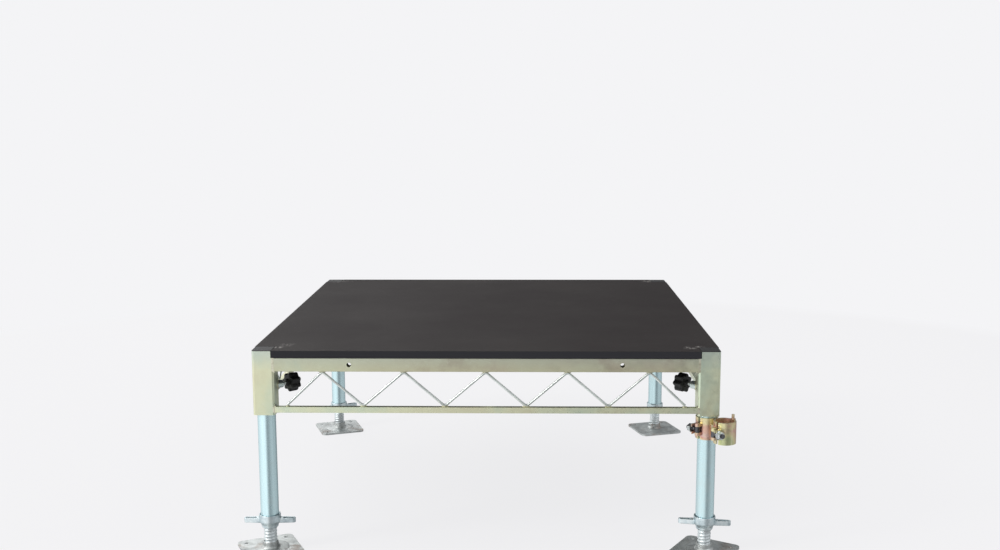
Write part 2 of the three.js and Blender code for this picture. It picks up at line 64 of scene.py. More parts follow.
deck_low, deck_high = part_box("deck_panel")
post_low, post_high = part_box("corner_post_br")
rail_low, rail_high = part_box("top_rail_front")
chord_low, chord_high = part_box("bottom_chord_front")
rod_low, rod_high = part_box("truss_rod_front")
leg_low, leg_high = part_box("leg_tube_br")
stem_low, stem_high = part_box("jack_stem_br")
nut_low, nut_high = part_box("jack_nut_br")
boss_low, boss_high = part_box("lock_boss_br")

HALF_SIDE = post_high.x
POST_SIDE = post_high.x - post_low.x
POST_CENTRE = (post_high.x + post_low.x) / 2
POST_WALL = 3.2 * MM
POST_CORNER = 6 * MM
POST_EASE = 0.5 * MM
EAR_WIDTH = 49.8 * MM
PLUG_PLAY = 0.6 * MM
PLUG_ABOVE_LEG = 9 * MM
DECK_NOTCH = 51 * MM
RAIL_TOP = rail_high.z
RAIL_WALL = 2 * MM
RAIL_CORNER = 2.4 * MM
RAIL_HOLE_INSET = 254 * MM
RAIL_HOLE_RADIUS = 6 * MM
CHORD_WALL = 1.5 * MM
CHORD_CORNER = 1.8 * MM
ROD_RADIUS = (rod_high.y - rod_low.y) / 2
ROD_WAVE = 213.4 * MM
ROD_BEND = 9 * MM
LEG_RADIUS = (leg_high.x - leg_low.x) / 2
LEG_WALL = 3.2 * MM
STEM_RADIUS = (stem_high.x - stem_low.x) / 2
STEM_WALL = 5 * MM
JACK_PITCH = 8.5 * MM
THREAD_DEPTH = 1.7 * MM
PLATE_SIDE = 152.4 * MM
PLATE_THICKNESS = 6 * MM
PLATE_CORNER = 16 * MM
PLATE_HOLE_RADIUS = 5 * MM
PLATE_HOLE_OFFSET = 54 * MM
COLLAR_RADIUS = 21 * MM
COLLAR_TOP = 25 * MM
NUT_RIM_RADIUS = 28.8 * MM
WING_REACH = 69 * MM
WING_CENTRE = 83 * MM
WING_HEIGHT = 13 * MM
PLATE_TURNS = {"fl": 26, "fr": -31, "bl": 20.5, "br": 17}
WING_TURNS = {"fl": 1, "fr": -8, "bl": 27, "br": 84}
LOCK_HEIGHT = JOINTS["knob_turn_br"]["pos_m"][2]
STUD_RADIUS = 4.75 * MM
STUD_PITCH = 1.5875 * MM
STUD_END = 80 * MM
STUD_HOLE_RADIUS = STUD_RADIUS + 0.35 * MM
BOSS_RADIUS = (boss_high.z - boss_low.z) / 2
BOSS_START = 28 * MM
BOSS_END = 51 * MM
KNOB_HUB = 61 * MM
KNOB_FACE = 68 * MM
KNOB_END = 97 * MM
KNOB_RADIUS = 22.8 * MM
KNOB_LOBE = 2.8 * MM
KNOB_LOBES = 7
HUB_RADIUS = 10 * MM
SCREW_INSET = 25.7 * MM
SCREW_SPACING = 400 * MM
SCREW_SUNK = 0.6 * MM
STRINGER_SCREWS = [(0, -300 * MM), (-3 * MM, 24 * MM), (0, 300 * MM)]

# ---- Meshes -------------------------------------------------------------------


def mesh_from(points, faces):
    """A mesh with its faces turned outwards."""
    mesh = bpy.data.meshes.new("piece")
    mesh.from_pydata([tuple(point) for point in points], [], faces)
    form = bmesh.new()
    form.from_mesh(mesh)
    bmesh.ops.recalc_face_normals(form, faces=form.faces)
    form.to_mesh(mesh)
    form.free()
    return mesh


def skin(loops, ring=False):
    """A mesh over a row of loops of equal length, with capped ends or closed on itself."""
    count = len(loops[0])
    rows = len(loops)
    faces = []
    for i in range(rows if ring else rows - 1):
        following = (i + 1) % rows
        for j in range(count):
            k = (j + 1) % count
            faces.append((i * count + j, i * count + k, following * count + k, following * count + j))
    if not ring:
        faces.append(tuple(range(count)))
        faces.append(tuple(range((rows - 1) * count, rows * count)))
    return mesh_from([point for loop in loops for point in loop], faces)


def angles_round(count):
    return [TAU * i / count for i in range(count)]


def circle(radius, z, segments=48):
    return [(radius * math.cos(a), radius * math.sin(a), z) for a in angles_round(segments)]


def turned(profile, segments=48, ring=False):
    """A body turned about Z from (radius, z) points: a ring's profile closes on itself."""
    return skin([circle(radius, z, segments) for radius, z in profile], ring)


def rod(radius, low, high, segments=32, chamfer=0.0):
    """A cylinder along Z, with chamfered ends if asked for."""
    if not chamfer:
        return turned([(radius, low), (radius, high)], segments)
    inside = radius - chamfer
    return turned(
        [(inside, low), (radius, low + chamfer), (radius, high - chamfer), (inside, high)], segments
    )


def rounded_outline(width, height, corner, steps=6):
    """Points round a rectangle with rounded corners, centred on the origin."""
    points = []
    for quarter, (x, y) in enumerate([(1, 1), (-1, 1), (-1, -1), (1, -1)]):
        centre_x = x * (width / 2 - corner)
        centre_y = y * (height / 2 - corner)
        for i in range(steps + 1):
            angle = TAU / 4 * (quarter + i / steps)
            points.append((centre_x + corner * math.cos(angle), centre_y + corner * math.sin(angle)))
    return points


def prism(outline, low, high):
    """An outline in X and Y, raised from one height to another."""
    return skin([[(x, y, z) for x, y in outline] for z in (low, high)])


def span(low, high):
    """A box from its lowest and highest corners."""
    outline = [(low[0], low[1]), (high[0], low[1]), (high[0], high[1]), (low[0], high[1])]
    return prism(outline, low[2], high[2])


def hollow_section(outer, inner, start, end):
    """A tube between an outer and an inner outline of as many points, along Z."""
    loops = [(outer, start), (outer, end), (inner, end), (inner, start)]
    return skin([[(x, y, z) for x, y in outline] for outline, z in loops], ring=True)


def moved(mesh, *matrices):
    for matrix in matrices:
        mesh.transform(matrix)
    return mesh


def turn(angle, axis="Z"):
    return Matrix.Rotation(angle, 4, axis)


def shift(x=0.0, y=0.0, z=0.0):
    return Matrix.Translation((x, y, z))


ALONG_X = turn(TAU / 4, "Y")
AS_DRAWN = Matrix.Identity(4)


def joined(*meshes):
    """Several closed bodies in one mesh."""
    form = bmesh.new()
    for mesh in meshes:
        form.from_mesh(mesh)
    mesh = bpy.data.meshes.new("piece")
    form.to_mesh(mesh)
    form.free()
    return mesh


def placed(name, data):
    """A new object in the scene."""
    made = bpy.data.objects.new(name, data)
    bpy.context.scene.collection.objects.link(made)
    return made


def settled(mesh, *modifiers):
    """The mesh with modifiers applied: each is (type, settings)."""
    holder = placed("holder", mesh)
    for kind, settings in modifiers:
        modifier = holder.modifiers.new(kind, kind)
        for key, value in settings.items():
            setattr(modifier, key, value)
    graph = bpy.context.evaluated_depsgraph_get()
    result = bpy.data.meshes.new_from_object(holder.evaluated_get(graph))
    bpy.data.objects.remove(holder)
    return result


def combined(mesh, operation, tools):
    """The mesh with each tool joined to it or cut from it."""
    for tool in tools:
        cutter = placed("cutter", tool)
        mesh = settled(mesh, ("BOOLEAN", {"object": cutter, "operation": operation, "solver": "EXACT"}))
        bpy.data.objects.remove(cutter)
    return mesh


def cut(mesh, *tools):
    return combined(mesh, "DIFFERENCE", tools)


def weld(mesh, *tools):
    return combined(mesh, "UNION", tools)


def softened(mesh, width, segments=2, angle=32):
    """The mesh with its sharp edges rounded."""
    settings = {
        "width": width,
        "segments": segments,
        "limit_method": "ANGLE",
        "angle_limit": math.radians(angle),
        "use_clamp_overlap": True,
    }
    return settled(mesh, ("BEVEL", settings))


def cast(mesh, voxel, smoothing=6):
    """The mesh as a casting: remeshed evenly, with its inner corners filled and its edges rounded."""
    remeshed = settled(mesh, ("REMESH", {"mode": "VOXEL", "voxel_size": voxel}))
    return settled(remeshed, ("SMOOTH", {"factor": 0.5, "iterations": smoothing}))


# ---- Shader building -------------------------------------------------------------


def add(tree, kind, inputs=None, **settings):
    """A shader node with its settings, its input values and its input links."""
    node = tree.nodes.new(f"ShaderNode{kind}")
    for key, value in settings.items():
        setattr(node, key, value)
    for key, value in (inputs or {}).items():
        if isinstance(value, bpy.types.NodeSocket):
            tree.links.new(value, node.inputs[key])
        else:
            node.inputs[key].default_value = value
    return node


def place_in(tree, scale=(1, 1, 1), offset=(0, 0, 0)):
    """The point in the object, scaled along each axis."""
    point = add(tree, "TexCoord").outputs["Object"]
    inputs = {"Vector": point, "Scale": scale, "Location": offset}
    return add(tree, "Mapping", inputs).outputs["Vector"]


def cloud(tree, scale, detail=3.0, rough=0.55, stretch=(1, 1, 1), offset=(0, 0, 0), distortion=0.0):
    inputs = {
        "Vector": place_in(tree, stretch, offset),
        "Scale": scale,
        "Detail": detail,
        "Roughness": rough,
        "Distortion": distortion,
    }
    return add(tree, "TexNoise", inputs).outputs["Fac"]


def ramp(tree, factor, stops):
    """A colour from a factor: stops are (position, (r, g, b))."""
    node = add(tree, "ValToRGB", {"Fac": factor})
    elements = node.color_ramp.elements
    while len(elements) < len(stops):
        elements.new(0.5)
    for element, (position, colour) in zip(elements, stops):
        element.position = position
        element.color = (*colour, 1)
    return node.outputs["Color"]


def level(tree, value, low, high, start=0.0, end=1.0):
    """The value taken from one range to another, clamped."""
    inputs = {"Value": value, "From Min": low, "From Max": high, "To Min": start, "To Max": end}
    return add(tree, "MapRange", inputs, clamp=True).outputs["Result"]


def maths(tree, operation, first, second=0.0):
    return add(tree, "Math", {0: first, 1: second}, operation=operation).outputs[0]


def times(tree, first, second):
    return maths(tree, "MULTIPLY", first, second)


def blended(tree, factor, first, second):
    node = add(tree, "Mix", data_type="RGBA")
    for index, value in ((0, factor), (6, first), (7, second)):
        if isinstance(value, bpy.types.NodeSocket):
            tree.links.new(value, node.inputs[index])
        elif index:
            node.inputs[index].default_value = (*value, 1)
        else:
            node.inputs[index].default_value = value
    return node.outputs[2]


def laid_over(tree, colour, where, share, tint):
    """The colour with a share of another over it, where a mask is high."""
    return blended(tree, times(tree, where, share), colour, tint)


def scratches(tree, field, width, where):
    """Thin lines along a cloud's middle value, where a mask is high."""
    away = maths(tree, "ABSOLUTE", maths(tree, "SUBTRACT", field, 0.5))
    return times(tree, level(tree, away, 0.0, width, 1.0, 0.0), where)


def bumped(tree, height, strength, distance, under=None):
    inputs = {"Height": height, "Strength": strength, "Distance": distance}
    if under is not None:
        inputs["Normal"] = under
    return add(tree, "Bump", inputs).outputs["Normal"]


def material(name):
    made = bpy.data.materials.new(name)
    made.use_nodes = True
    return made, made.node_tree, made.node_tree.nodes["Principled BSDF"]


def feed(tree, shader, **inputs):
    names = {
        "colour": "Base Color",
        "metal": "Metallic",
        "rough": "Roughness",
        "normal": "Normal",
        "gloss": "Specular IOR Level",
        "coat": "Coat Weight",
        "coat_rough": "Coat Roughness",
    }
    for key, value in inputs.items():
        socket = shader.inputs[names[key]]
        if isinstance(value, bpy.types.NodeSocket):
            tree.links.new(value, socket)
        else:
            socket.default_value = value


def near(tree, centre, radius):
    """One at a point, falling to nought at a distance from it."""
    inputs = {0: place_in(tree), 1: centre}
    distance = add(tree, "VectorMath", inputs, operation="DISTANCE").outputs["Value"]
    return level(tree, distance, 0.0, radius, 1.0, 0.0)


def height_of(tree):
    return add(tree, "SeparateXYZ", {0: place_in(tree)}).outputs["Z"]


def upward(tree):
    """The upward part of the surface's direction."""
    normal = add(tree, "NewGeometry").outputs["Normal"]
    return add(tree, "SeparateXYZ", {0: normal}).outputs["Z"]


# ---- Finishes ----------------------------------------------------------------------

# Tints of a thin clear-to-yellow zinc passivate, from its bluest to its pinkest.
PASSIVATE = [
    (0.30, (0.47, 0.58, 0.57)),
    (0.42, (0.56, 0.64, 0.50)),
    (0.52, (0.68, 0.69, 0.49)),
    (0.62, (0.64, 0.61, 0.43)),
    (0.74, (0.64, 0.52, 0.41)),
]


def passivated(name, stretch, roughness=0.36, shade=1.0, offset=(0, 0, 0)):
    """Plated frame tube: tints that drift along it, fine drawing lines, stains and scuffs."""
    made, tree, shader = material(name)
    drift = cloud(tree, 3.2, 4.0, 0.6, stretch, offset)
    hand = cloud(tree, 14, 3.0, 0.6, offset=offset)
    tint = maths(tree, "ADD", times(tree, drift, 0.75), times(tree, hand, 0.25))
    # The shade factor scales every tint: a painted brightness that makes lit and shaded copies of this one
    # finish.
    stops = [(spot, tuple(shade * part for part in colour)) for spot, colour in PASSIVATE]
    colour = ramp(tree, tint, stops)
    # Painted shade: the frame is painted darker and bluer towards its top, from z 0.50 to 0.56.
    top = level(tree, height_of(tree), 0.50, 0.56)
    colour = laid_over(tree, colour, top, 0.7, (0.50 * shade, 0.58 * shade, 0.56 * shade))
    stain = level(tree, cloud(tree, 7, 6.0, 0.7, offset=offset), 0.56, 0.72)
    colour = laid_over(tree, colour, stain, 0.4, (0.34, 0.30, 0.22))
    dust = level(tree, cloud(tree, 260, 2.0, 0.5), 0.64, 0.72)
    colour = laid_over(tree, colour, dust, 0.2, (0.80, 0.80, 0.74))
    scuff = cloud(tree, 24, 1.0, 0.4, (1.0, 1.0, 2.6), (3, 1, 2), distortion=1.2)
    where = level(tree, cloud(tree, 9, 2.0, 0.5, offset=(7, 3, 5)), 0.56, 0.64)
    scratch = scratches(tree, scuff, 0.006, where)
    colour = laid_over(tree, colour, scratch, 0.6, (0.86, 0.86, 0.78))
    drawn = cloud(tree, 190, 2.0, 0.5, stretch)
    mottle = cloud(tree, 60, 4.0, 0.6)
    rough = level(tree, mottle, 0.3, 0.7, roughness - 0.09, roughness + 0.12)
    normal = bumped(tree, drawn, 0.12, 0.4 * MM)
    normal = bumped(tree, mottle, 0.10, 0.8 * MM, normal)
    normal = bumped(tree, scratch, 0.35, 0.3 * MM, normal)
    feed(tree, shader, colour=colour, metal=0.86, rough=rough, normal=normal)
    return made


def bright_zinc(name, stretch, roughness=0.24, tint=(0.62, 0.81, 0.85), wear=0.4):
    """Blue-white plating on tube: long draw lines, dull clouds and small pits."""
    made, tree, shader = material(name)
    lines = cloud(tree, 26, 3.0, 0.6, stretch)
    haze = cloud(tree, 11, 5.0, 0.65)
    dark = tuple(0.80 * part for part in tint)
    pale = tuple(min(1.0, 1.13 * part + 0.03) for part in tint)
    colour = ramp(tree, lines, [(0.32, dark), (0.50, tint), (0.66, pale)])
    colour = laid_over(tree, colour, level(tree, haze, 0.52, 0.72), wear, (0.66, 0.70, 0.67))
    specks = level(tree, cloud(tree, 210, 2.0, 0.6), 0.70, 0.76)
    colour = laid_over(tree, colour, specks, 0.15, (0.40, 0.46, 0.47))
    rough = level(tree, haze, 0.35, 0.7, roughness - 0.05, roughness + 0.14)
    normal = bumped(tree, cloud(tree, 120, 2.0, 0.5, stretch), 0.06, 0.25 * MM)
    normal = bumped(tree, specks, 0.10, 0.15 * MM, normal)
    feed(tree, shader, colour=colour, metal=0.90, rough=rough, normal=normal)
    return made


def galvanised(name, tint=(0.50, 0.52, 0.51), rust=1.0, offset=(0, 0, 0)):
    """Dipped zinc gone dull: crystal spangle, dirt, handling marks and brown stains."""
    made, tree, shader = material(name)
    point = place_in(tree, (1, 1, 1), offset)
    cells = add(tree, "TexVoronoi", {"Vector": point, "Scale": 150.0, "Randomness": 1.0})
    grain = add(tree, "SeparateColor", {0: cells.outputs["Color"]}).outputs[0]
    smear = cloud(tree, 24, 6.0, 0.68, offset=offset, distortion=0.6)
    pale = tuple(min(1.0, 1.28 * part) for part in tint)
    dark = tuple(0.50 * part for part in tint)
    colour = ramp(tree, smear, [(0.30, dark), (0.47, tint), (0.66, pale)])
    lift = level(tree, grain, 0.0, 1.0, 0.0, 0.30)
    colour = blended(tree, lift, colour, (0.70, 0.73, 0.72))
    brown = level(tree, cloud(tree, 13, 6.0, 0.7, offset=(4, 9, 2)), 0.54, 0.68)
    brown = times(tree, brown, 0.65 * rust)
    colour = blended(tree, brown, colour, (0.22, 0.12, 0.065))
    metal = level(tree, brown, 0.0, 0.6, 0.85, 0.35)
    rough = level(tree, smear, 0.3, 0.7, 0.56, 0.38)
    normal = bumped(tree, smear, 0.25, 0.8 * MM)
    normal = bumped(tree, cloud(tree, 420, 3.0, 0.6), 0.15, 0.3 * MM, normal)
    feed(tree, shader, colour=colour, metal=metal, rough=rough, normal=normal)
    return made


def coupler_plating():
    """Heavy yellow passivate on pressed steel: gold that runs to red, rose and green."""
    made, tree, shader = material("coupler_zinc")
    bands = cloud(tree, 17, 2.5, 0.5, (1.0, 1.0, 1.3), distortion=0.5)
    colour = ramp(tree, bands, [
        (0.30, (0.44, 0.50, 0.25)),
        (0.41, (0.68, 0.63, 0.33)),
        (0.49, (0.70, 0.55, 0.33)),
        (0.56, (0.62, 0.34, 0.27)),
        (0.64, (0.66, 0.41, 0.39)),
        (0.76, (0.50, 0.54, 0.38)),
    ])
    soot = level(tree, cloud(tree, 38, 5.0, 0.65), 0.56, 0.72)
    colour = laid_over(tree, colour, soot, 0.5, (0.16, 0.12, 0.08))
    # Pale gold along the sharp edges: partly wear, partly a painted highlight where light catches the
    # rims.
    edges = add(tree, "NewGeometry").outputs["Pointiness"]
    rim_highlight_and_wear = level(tree, edges, 0.52, 0.60, 0.0, 0.65)
    colour = blended(tree, rim_highlight_and_wear, colour, (0.82, 0.78, 0.58))
    forged = cloud(tree, 210, 4.0, 0.6)
    normal = bumped(tree, forged, 0.16, 0.5 * MM)
    rough = level(tree, forged, 0.3, 0.7, 0.30, 0.46)
    feed(tree, shader, colour=colour, metal=0.92, rough=rough, normal=normal)
    return made


def cast_zinc():
    """Plated casting: a sandy skin, with painted shade darkening its hollows."""
    made, tree, shader = material("cast_zinc")
    patch = cloud(tree, 42, 5.0, 0.65)
    colour = ramp(tree, patch, [
        (0.32, (0.40, 0.48, 0.51)),
        (0.50, (0.62, 0.71, 0.74)),
        (0.68, (0.78, 0.84, 0.85)),
    ])
    hollow = add(tree, "NewGeometry").outputs["Pointiness"]
    # Painted shade: the casting is painted darker where its surface is hollow, found by its pointiness.
    hollow_shade = level(tree, hollow, 0.40, 0.49, 0.75, 0.0)
    colour = blended(tree, hollow_shade, colour, (0.16, 0.18, 0.20))
    sand = cloud(tree, 620, 3.0, 0.6)
    normal = bumped(tree, sand, 0.22, 0.35 * MM)
    normal = bumped(tree, patch, 0.20, 0.9 * MM, normal)
    rough = level(tree, patch, 0.3, 0.7, 0.42, 0.27)
    feed(tree, shader, colour=colour, metal=0.90, rough=rough, normal=normal)
    return made


# Scuffs at the deck's notches: the corner, the scuff's place from the notch's inner
# corner and its radius, in millimetres, and its strength.
DECK_SCUFFS = [
    ("fl", 12, -8, 15, 1.0),
    ("fl", 30, 22, 26, 0.35),
    ("fr", 4, 3, 15, 0.8),
    ("fr", -22, -4, 24, 0.5),
    ("br", -10, 12, 34, 0.55),
    ("br", 24, 16, 22, 0.5),
    ("bl", 20, 22, 30, 0.5),
    ("bl", -16, -2, 24, 0.35),
]
PLY = 2.7 * MM


def deck_scuffs(tree):
    """How rubbed the film is round the deck's corners."""
    edge = HALF_SIDE - DECK_NOTCH
    marks = 0.0
    for name, x, y, radius, weight in DECK_SCUFFS:
        side_x, side_y = CORNERS[name]
        centre = (side_x * edge + x * MM, side_y * edge + y * MM, deck_high.z)
        mark = times(tree, near(tree, centre, radius * MM), weight)
        marks = maths(tree, "MAXIMUM", marks, mark)
    return marks


def deck_film():
    """Black film on plywood, sealed at its edges, scuffed at its corners."""
    made, tree, shader = material("deck_film")
    top = level(tree, upward(tree), 0.5, 0.9)
    patches = cloud(tree, 2.6, 5.0, 0.6)
    film = ramp(tree, patches, [
        (0.34, (0.0235, 0.0190, 0.0190)),
        (0.52, (0.0260, 0.0215, 0.0210)),
        (0.68, (0.0290, 0.0240, 0.0230)),
    ])
    plies = maths(tree, "SINE", times(tree, height_of(tree), TAU / PLY))
    light_ply = level(tree, plies, -0.4, 0.9, 0.0, 0.5)
    sealed = blended(tree, light_ply, (0.026, 0.026, 0.030), (0.036, 0.035, 0.040))
    colour = blended(tree, top, sealed, film)
    rubbed = level(tree, cloud(tree, 90, 5.0, 0.7, (1.0, 0.5, 1.0)), 0.48, 0.66)
    pale = times(tree, times(tree, deck_scuffs(tree), rubbed), 1.5)
    field = cloud(tree, 5.5, 2.0, 0.5, (1.0, 2.2, 1.0), (2, 5, 1), distortion=1.6)
    where = level(tree, cloud(tree, 3.3, 2.0, 0.5, offset=(1, 4, 8)), 0.54, 0.62)
    scratch = times(tree, scratches(tree, field, 0.0016, where), top)
    pale = maths(tree, "MAXIMUM", pale, times(tree, scratch, 0.10))
    colour = blended(tree, pale, colour, (0.42, 0.40, 0.38))
    fine = cloud(tree, 700, 2.0, 0.5)
    grain = cloud(tree, 34, 3.0, 0.6, (1.0, 0.08, 1.0))
    rough = level(tree, patches, 0.3, 0.7, 0.66, 0.60)
    rough = maths(tree, "ADD", rough, times(tree, fine, 0.06))
    normal = bumped(tree, fine, 0.10, 0.25 * MM)
    normal = bumped(tree, grain, 0.10, 0.5 * MM, normal)
    normal = bumped(tree, plies, 0.12, 0.3 * MM, normal)
    feed(tree, shader, colour=colour, rough=rough, gloss=0.11, normal=normal)
    return made


def black_plastic(name, shade, gloss=0.30):
    """Moulded plastic with a fine spark grain and rubbed high spots."""
    made, tree, shader = material(name)
    rub = cloud(tree, 55, 4.0, 0.6)
    rubbed = (2.4 * shade, 2.3 * shade, 2.3 * shade)
    colour = ramp(tree, rub, [(0.35, (shade, shade, 1.06 * shade)), (0.70, rubbed)])
    grain = cloud(tree, 1500, 2.0, 0.5)
    rough = level(tree, rub, 0.3, 0.7, 0.36, 0.52)
    normal = bumped(tree, grain, 0.25, 0.12 * MM)
    feed(tree, shader, colour=colour, rough=rough, gloss=gloss, normal=normal)
    return made


def weld_metal():
    """Plated weld metal, uneven in tint and surface."""
    made, tree, shader = material("weld_zinc")
    lumps = cloud(tree, 160, 4.0, 0.65)
    colour = ramp(tree, lumps, [
        (0.30, (0.46, 0.43, 0.32)),
        (0.50, (0.62, 0.60, 0.46)),
        (0.70, (0.78, 0.77, 0.64)),
    ])
    normal = bumped(tree, lumps, 0.35, 0.7 * MM)
    feed(tree, shader, colour=colour, metal=0.85, rough=0.40, normal=normal)
    return made


# One plating in three copies: the shade factor paints the rails and stringer darker (painted shade) and
# the posts and chords lighter (painted light).
frame_x = passivated("yellow_zinc_across_painted_darker", (0.16, 1.0, 1.0), 0.38, 0.90)
frame_z = passivated("yellow_zinc_upright_painted_lighter", (1.0, 1.0, 0.30), 0.38, 1.07, offset=(1.3, 0.4, 0.2))
chord_zinc = passivated("yellow_zinc_chord_painted_lighter", (0.5, 1.0, 1.0), 0.30, 1.10, offset=(5.2, 2.1, 3.7))
leg_zinc = bright_zinc("blue_zinc_tube", (1.0, 1.0, 0.03))
rod_zinc = bright_zinc("blue_zinc_rod", (1.0, 1.0, 1.0), 0.30, (0.66, 0.70, 0.68))
bolt_zinc = bright_zinc("bolt_zinc", (1.0, 1.0, 1.0), 0.18, (0.60, 0.63, 0.63), 0.3)
dark_bolt_zinc = bright_zinc("dark_bolt_zinc", (1.0, 1.0, 1.0), 0.24, (0.10, 0.10, 0.11), 0.1)
boss_zinc = bright_zinc("boss_zinc", (1.0, 1.0, 1.0), 0.26, (0.62, 0.70, 0.69), 0.6)
stem_zinc = galvanised("galvanised_stem", (0.72, 0.77, 0.79), 0.25)
plate_zinc = galvanised("galvanised_plate", (0.48, 0.50, 0.495), 1.0, (2, 7, 1))
nut_zinc = cast_zinc()
coupler_zinc = coupler_plating()
film = deck_film()
plastic = black_plastic("black_plastic", 0.007)
cap_plastic = black_plastic("cap_plastic", 0.019, 0.08)
screw_plastic = black_plastic("screw_black", 0.02)
weld_zinc = weld_metal()

# ---- Placing pieces ---------------------------------------------------------------


def piece(name, drawn, place, finish, body, slot, *nodes, smooth=34):
    """A drawn mesh, put in its place as a piece on a body, with its finish and CAD nodes."""
    mesh = moved(drawn.copy(), place)
    mesh.materials.clear()
    mesh.materials.append(finish)
    mesh.shade_smooth()
    mesh.set_sharp_from_angle(angle=math.radians(smooth))
    made = placed(name, mesh)
    if smooth < 90:
        weights = made.modifiers.new("even_shading", "WEIGHTED_NORMAL")
        weights.keep_sharp = True
    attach(made, body)
    if nodes:
        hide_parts(*nodes)


def corner_place(name):
    """From a piece drawn at the origin for the +X +Y corner to its own corner."""
    x, y = CORNERS[name]
    return shift(x * POST_CENTRE, y * POST_CENTRE) @ turn(math.atan2(y, x) - TAU / 8)


def clamp_place(name):
    """From a piece drawn along +X from the origin to the clamp stud's axis."""
    x, y = CORNERS[name]
    return shift(x * POST_CENTRE, y * POST_CENTRE, LOCK_HEIGHT) @ turn(math.atan2(-y, -x))


# ---- Frame ------------------------------------------------------------------------


def inside_boxes(edge, top):
    """Two boxes that cut away all but an L of outer walls above the rails."""
    far = POST_SIDE
    return (
        span((-far, -far, RAIL_TOP), (edge, far, top + far)),
        span((-far, -far, RAIL_TOP), (far, edge, top + far)),
    )


def post_mesh():
    """The square tube, its outer walls left standing as ears, drawn for the +X +Y corner."""
    outer = rounded_outline(POST_SIDE, POST_SIDE, POST_CORNER)
    bore = POST_SIDE - 2 * POST_WALL
    inner = rounded_outline(bore, bore, POST_CORNER - POST_WALL)
    tube = hollow_section(outer, inner, post_low.z, post_high.z)
    boxes = inside_boxes(POST_SIDE / 2 - EAR_WIDTH, post_high.z)
    inwards = turn(-3 * TAU / 8)
    hole = moved(rod(STUD_HOLE_RADIUS, 0, POST_SIDE), ALONG_X, inwards, shift(z=LOCK_HEIGHT))
    return softened(cut(tube, *boxes, hole), POST_EASE)


def plug_mesh():
    """The black plug: a block in the deck's notch and a lip over the ears."""
    skirt = POST_SIDE - 2 * POST_WALL - PLUG_PLAY
    foot = leg_high.z + PLUG_ABOVE_LEG
    core = prism(rounded_outline(skirt, skirt, POST_CORNER - POST_WALL), foot, deck_high.z)
    lip = prism(rounded_outline(POST_SIDE, POST_SIDE, POST_CORNER), post_high.z + 0.2 * MM, deck_high.z)
    boxes = inside_boxes(POST_SIDE / 2 - (DECK_NOTCH - PLUG_PLAY), deck_high.z)
    return softened(cut(weld(core, lip), *boxes), POST_EASE)


def side_tube(low, high, wall, corner):
    """A rectangular tube along X with rounded edges, from its box."""
    depth = high.y - low.y
    height = high.z - low.z
    outer = rounded_outline(depth, height, corner)
    inner = rounded_outline(depth - 2 * wall, height - 2 * wall, max(corner - wall, 0.3 * MM))
    half = (high.x - low.x) / 2
    tube = hollow_section(outer, inner, -half, half)
    centre = (low + high) / 2
    return moved(tube, turn(TAU / 4, "X"), turn(TAU / 4), shift(0, centre.y, centre.z))


def rail_mesh():
    rail = side_tube(rail_low, rail_high, RAIL_WALL, RAIL_CORNER)
    middle = (rail_low.z + rail_high.z) / 2
    through = 40 * MM
    holes = []
    for side in (-1, 1):
        hole = rod(RAIL_HOLE_RADIUS, -through, through)
        x = side * (HALF_SIDE - RAIL_HOLE_INSET)
        holes.append(moved(hole, turn(TAU / 4, "X"), shift(x, rail_low.y, middle)))
    return softened(cut(rail, *holes), 0.35 * MM, 1, 50)


def rod_path():
    """The truss rod's centre line: a zigzag with round bends."""
    top = rod_high.z - ROD_RADIUS
    bottom = rod_low.z + ROD_RADIUS
    y = (rod_low.y + rod_high.y) / 2
    climb = math.atan2(top - bottom, ROD_WAVE / 2)
    sharper = 0.5 * ROD_BEND * math.sin(climb)
    end = rod_high.x - ROD_RADIUS * math.sin(climb)
    corners = [Vector((-end, y, bottom))]
    for k in range(-2, 3):
        corners.append(Vector((k * ROD_WAVE, y, top + sharper)))
        if k < 2:
            corners.append(Vector(((k + 0.5) * ROD_WAVE, y, bottom - sharper)))
    corners.append(Vector((end, y, bottom)))
    path = [corners[0]]
    for before, bend, after in zip(corners, corners[1:], corners[2:]):
        start = bend + (before - bend).normalized() * ROD_BEND
        stop = bend + (after - bend).normalized() * ROD_BEND
        steps = 8
        for i in range(steps + 1):
            t = i / steps
            path.append(start * (1 - t) ** 2 + bend * 2 * t * (1 - t) + stop * t * t)
    path.append(corners[-1])
    return path, corners


def swept(path, radius, sides=14, across=Vector((0, 1, 0)), ripple=None):
    """A round bar along a path that never turns towards the across direction."""
    loops = []
    for i, point in enumerate(path):
        ahead = path[min(i + 1, len(path) - 1)]
        behind = path[max(i - 1, 0)]
        along = (ahead - behind).normalized()
        side = (across - along * across.dot(along)).normalized()
        other = along.cross(side)
        size = radius * (ripple(i) if ripple else 1)
        loops.append([
            point + size * (math.cos(a) * side + math.sin(a) * other) for a in angles_round(sides)
        ])
    return skin(loops)


def lump(centre, half_length, half_width, half_height, seed):
    """A weld blob along X: an uneven ellipsoid."""
    loops = []
    rows = 12
    for i in range(rows + 1):
        t = math.pi * (0.04 + 0.92 * i / rows)
        size = math.sin(t)
        loop = []
        for a in angles_round(12):
            point = Vector((-math.cos(t), size * math.cos(a), size * math.sin(a)))
            uneven = 1 + 0.16 * noise.noise(point * 2.1 + Vector((seed, 0, 0)))
            loop.append(centre + uneven * Vector((
                half_length * point.x, half_width * point.y, half_height * point.z,
            )))
        loops.append(loop)
    return skin(loops)


def rod_welds(corners):
    """The weld at each bend, where the rod meets the rail and the chord."""
    blobs = []
    for i, corner in enumerate(corners[1:-1]):
        high = i % 2 == 0
        z = rail_low.z - 1.2 * MM if high else chord_high.z + 1.2 * MM
        blobs.append(lump(Vector((corner.x, corner.y, z)), 10 * MM, 3.4 * MM, 2.2 * MM, i))
    for sign in (-1, 1):
        centre = Vector((sign * (rod_high.x - 3 * MM), corners[0].y, chord_high.z + 1.2 * MM))
        blobs.append(lump(centre, 6 * MM, 3.2 * MM, 2.0 * MM, 20 + sign))
    return joined(*blobs)


